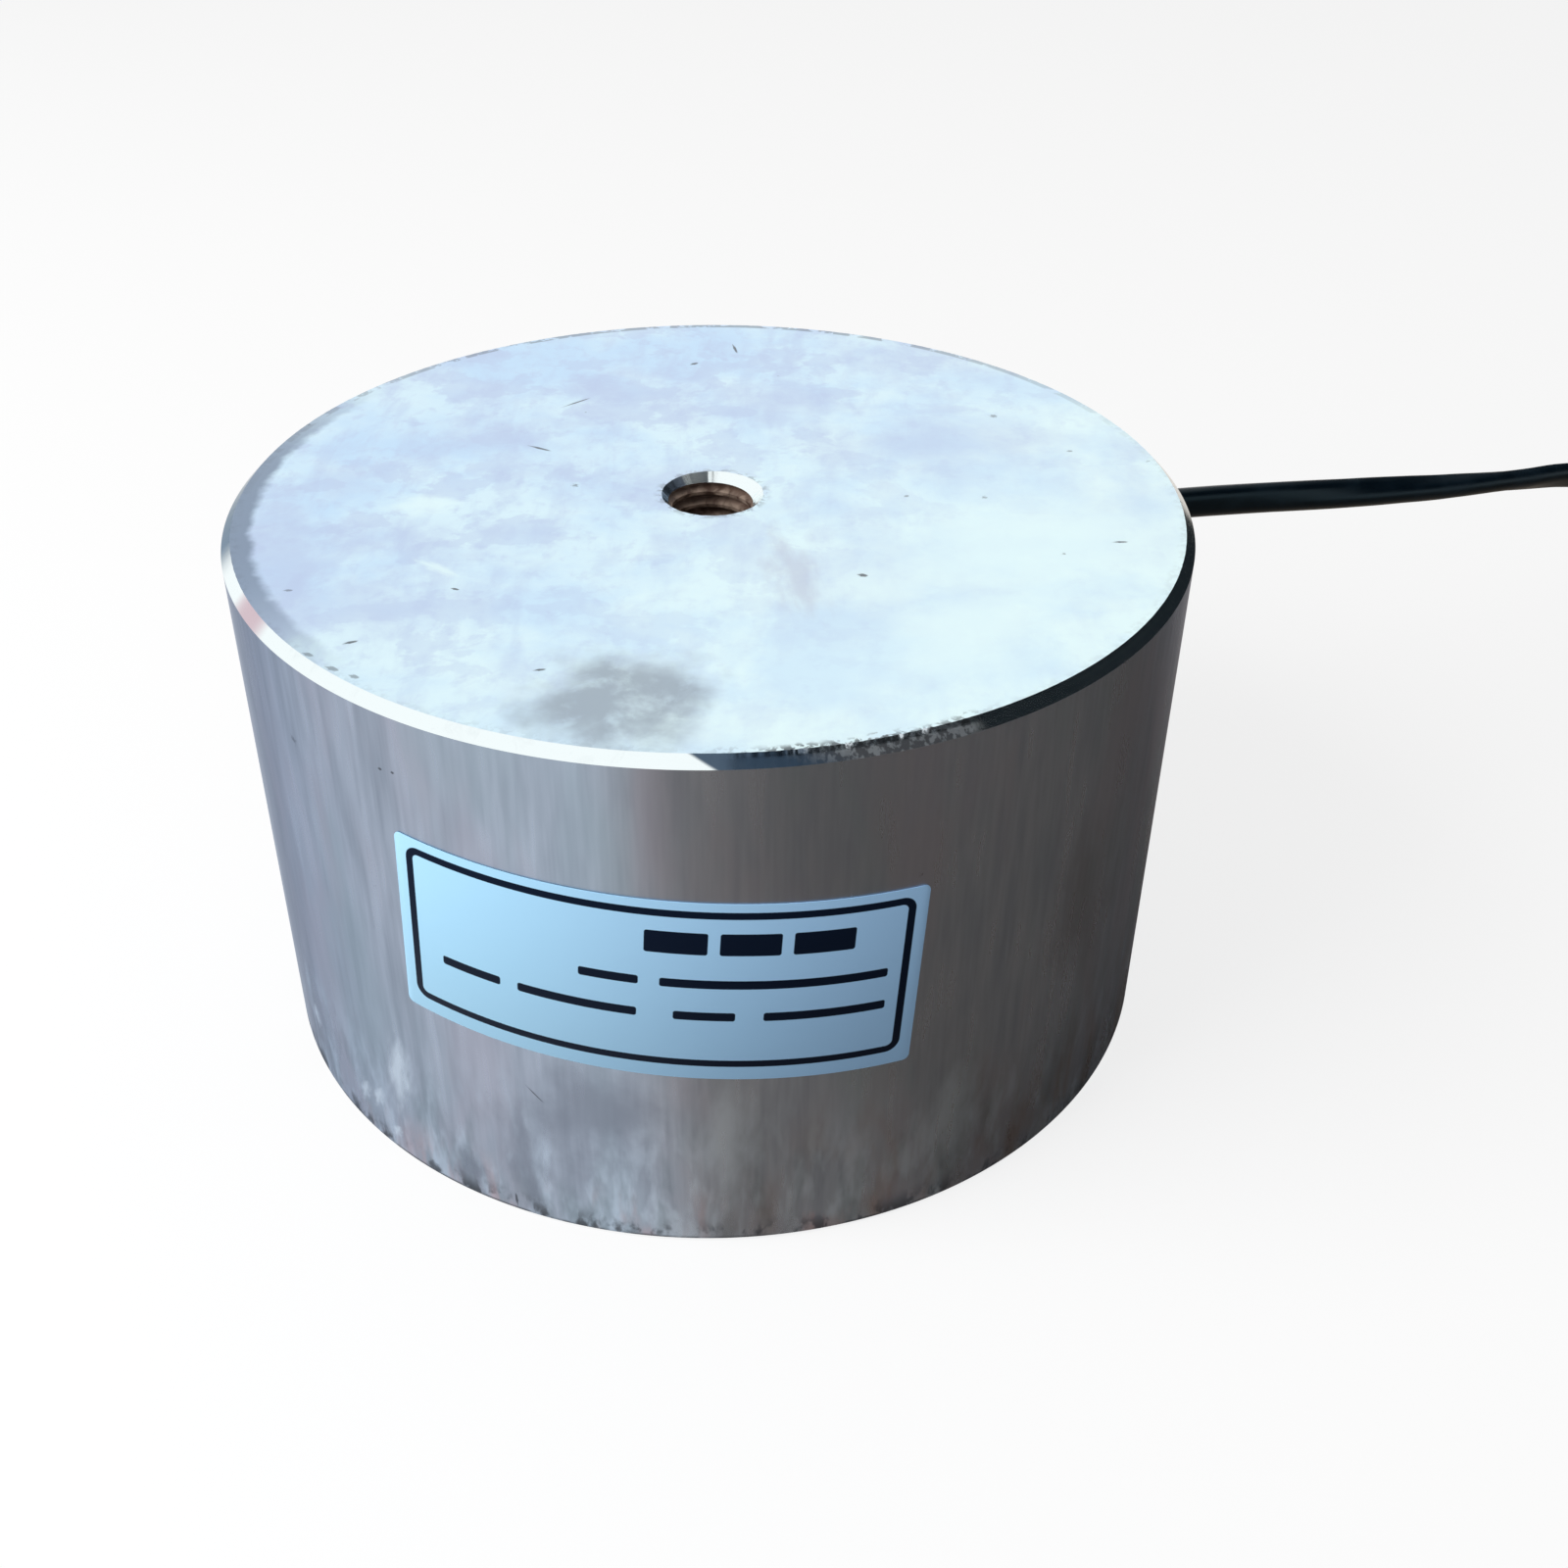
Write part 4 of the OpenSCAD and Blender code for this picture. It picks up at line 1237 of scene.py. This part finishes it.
# White again from here on round the back, its level, and the dark level from the pot outwards, darker next
# to the pot as a painted shadow
BACK_TURN = radians(95)
WHITE_LEVEL = 0.88
DARK_NEAR = 0.09
DARK_FAR = 0.17
DARK_R = 0.085
RIBBON_R = 0.45
RIBBON_START = radians(10)
RIBBON_END = radians(152)
RIBBON_STEPS = 64
# The ribbon's two edges: highest elevation, how fast it falls with azimuth, and a margin
RIBBON_EDGES = ((radians(55), 0.65, radians(-15)), (radians(66), 0.55, radians(8)))
RIBBON_TURNS = (radians(25), radians(60))
RIBBON_BLUE = rgb(0.021, 0.029, 0.038)
RIBBON_DARK = rgb(0.010, 0.0135, 0.0165)


def seen_directly(bench):
    """One for rays that should meet the white surround: from the camera, off metal and through glass."""
    rays = bench.put("ShaderNodeLightPath").outputs
    seen = bench.most(rays["Is Camera Ray"], rays["Is Glossy Ray"])
    return bench.most(seen, rays["Is Transmission Ray"])


def bare_tree(owner):
    """The emptied node tree of a material or a world, on its bench."""
    owner.use_nodes = True
    owner.node_tree.nodes.clear()
    return Bench(owner.node_tree)


def make_floor():
    bm = bmesh.new()
    bmesh.ops.create_grid(bm, x_segments=1, y_segments=1, size=FLOOR_HALF)
    bmesh.ops.translate(bm, vec=(0, 0, -FLOOR_DROP), verts=bm.verts)
    floor = bare_object("floor", bm)
    material = bpy.data.materials.new("pale_floor")
    bench = bare_tree(material)
    matte = bench.put("ShaderNodeBsdfDiffuse", {"Color": FLOOR_COLOUR}).outputs[0]
    strength = bench.times(seen_directly(bench), FLOOR_GLOW)
    glow = bench.put("ShaderNodeEmission", {"Strength": strength}).outputs[0]
    both = bench.put("ShaderNodeAddShader", {0: matte, 1: glow}).outputs[0]
    bench.put("ShaderNodeOutputMaterial", {"Surface": both})
    floor.data.materials.append(material)


def hang_card(name, rows, glow):
    """A card that only polished steel sees: rows of points bridged to a sheet, with a glow of its own."""
    bm = bmesh.new()
    loops = []
    for row in rows:
        points = [bm.verts.new(spot) for spot in row]
        loops.append([bm.edges.new(pair) for pair in zip(points, points[1:])])
    bmesh.ops.bridge_loops(bm, edges=loops[0] + loops[1])
    card = bare_object(name, bm)
    material = bpy.data.materials.new(name)
    bench = bare_tree(material)
    bench.put("ShaderNodeOutputMaterial", {"Surface": glow(bench)})
    card.data.materials.append(material)
    card.visible_camera = False
    card.visible_diffuse = False
    card.visible_shadow = False


def card_turns(start, end, steps):
    return [start + (end - start) * k / steps for k in range(steps + 1)]


def camera_turn(bench):
    """The place on a card, and its azimuth from the camera to the right."""
    place = bench.put("ShaderNodeTexCoord").outputs["Object"]
    front = bench.vector("DOT_PRODUCT", place, bearing(PHOTO_AZIMUTH), output=1)
    right = bench.vector("DOT_PRODUCT", place, bearing(PHOTO_AZIMUTH + pi / 2), output=1)
    return place, bench.math("ARCTAN2", right, front)


def floor_card_glow(bench):
    """White at the left of the camera, falling to a warm dark grey at the right, later close to the pot,
    and darker next to the pot as a painted shadow.
    """
    place, turn = camera_turn(bench)
    radius = bench.vector("LENGTH", place, output=1)
    shift = bench.ease(radius, BODY_R, LATE_R, LATE_TURN, 0.0)
    past = bench.less(turn, shift)
    white = bench.ease(past, *SHORT_FALL, 0.0)
    white = bench.plus(white, bench.ease(bench.less(past, shift), *LONG_FALL, 0.0))
    white = bench.plus(white, bench.ease(turn, BACK_TURN, pi))
    # Painted shadow: the card darkens next to the pot.
    dark = bench.ease(radius, BODY_R, DARK_R, DARK_NEAR, DARK_FAR)
    level = bench.plus(dark, bench.times(white, WHITE_LEVEL))
    colour = bench.blend(white, FLOOR_CARD_WARM, PURE_WHITE)
    return bench.put("ShaderNodeEmission", {"Color": colour, "Strength": level}).outputs[0]


def ribbon_glow(bench):
    """Dark blue at the ribbon's start, darker further round."""
    _, turn = camera_turn(bench)
    colour = bench.blend(bench.ease(turn, *RIBBON_TURNS), RIBBON_BLUE, RIBBON_DARK)
    return bench.put("ShaderNodeEmission", {"Color": colour}).outputs[0]


def make_dark_cards():
    """A toned sheet on the floor for the wall, and a dark ribbon for the chamfer, right of the camera."""
    rows = []
    lift = Vector((0, 0, FLOOR_CARD_LIFT))
    turns = card_turns(-pi, pi, FLOOR_CARD_STEPS)
    for radius in (BODY_R + FLOOR_CARD_GAP, FLOOR_CARD_R):
        rows.append([bearing(PHOTO_AZIMUTH + turn) * radius + lift for turn in turns])
    hang_card("floor_card", rows, floor_card_glow)
    rows = []
    for top, fall, margin in RIBBON_EDGES:
        row = []
        for turn in card_turns(RIBBON_START, RIBBON_END, RIBBON_STEPS):
            up = top * cos(fall * turn) + margin
            row.append(bearing(PHOTO_AZIMUTH + turn, up) * RIBBON_R + Vector((0, 0, BODY_H)))
        rows.append(row)
    hang_card("ribbon_card", rows, ribbon_glow)


def make_sky():
    world = bpy.data.worlds.new("white_studio")
    bench = bare_tree(world)
    level = bench.ease(seen_directly(bench), 0.0, 1.0, SKY_LEVEL, 1.0)
    back = bench.put("ShaderNodeBackground", {"Color": PURE_WHITE, "Strength": level}).outputs[0]
    bench.put("ShaderNodeOutputWorld", {"Surface": back})
    bpy.context.scene.world = world


def make_lamp(name, azimuth, elevation, distance, size, level):
    """A soft square lamp that points at the pot: its level is the brightness of its face."""
    data = bpy.data.lights.new(name, "AREA")
    data.shape = "SQUARE"
    data.size = size
    data.energy = level * size * size * pi
    lamp = bpy.data.objects.new(name, data)
    back = bearing(PHOTO_AZIMUTH + azimuth, elevation)
    place = back * distance + Vector((0, 0, BODY_H / 2))
    lamp.matrix_world = Matrix.Translation(place) @ (-back).to_track_quat("-Z", "Y").to_matrix().to_4x4()
    lamp.visible_glossy = False
    bpy.context.scene.collection.objects.link(lamp)


CORE_BLACK = plastic("core_black", rgb(0.03, 0.03, 0.035), rgb(0.018, 0.018, 0.02), 0.35)
CORE_RED = plastic("core_red", rgb(0.52, 0.035, 0.03), rgb(0.40, 0.02, 0.02), 0.35)
TINNED = plastic("tinned_copper", rgb(0.74, 0.74, 0.73), rgb(0.60, 0.59, 0.57), 0.3, metallic=1.0)

make_camera()
lead, lead_route = make_lead()
bush = make_grommet(plastic("bush_rubber", rgb(0.03, 0.03, 0.034), rgb(0.018, 0.018, 0.02), 0.6, grain=3.0))
tie = make_tie(plastic("tie_strip", rgb(0.60, 0.60, 0.58), rgb(0.50, 0.50, 0.48), 0.5, grain=2.0))
ends = [
    make_end_core("black", -1, CORE_BLACK),
    make_end_core("red", 1, CORE_RED),
    make_end_strands("black", -1, TINNED),
    make_end_strands("red", 1, TINNED),
]
make_pot()
make_label()
dress_inside()
make_floor()
make_dark_cards()
make_sky()
make_lamp("left_lamp", azimuth=radians(-65), elevation=radians(35), distance=0.9, size=0.7, level=6.2)
bpy.context.scene.view_settings.view_transform = "Standard"
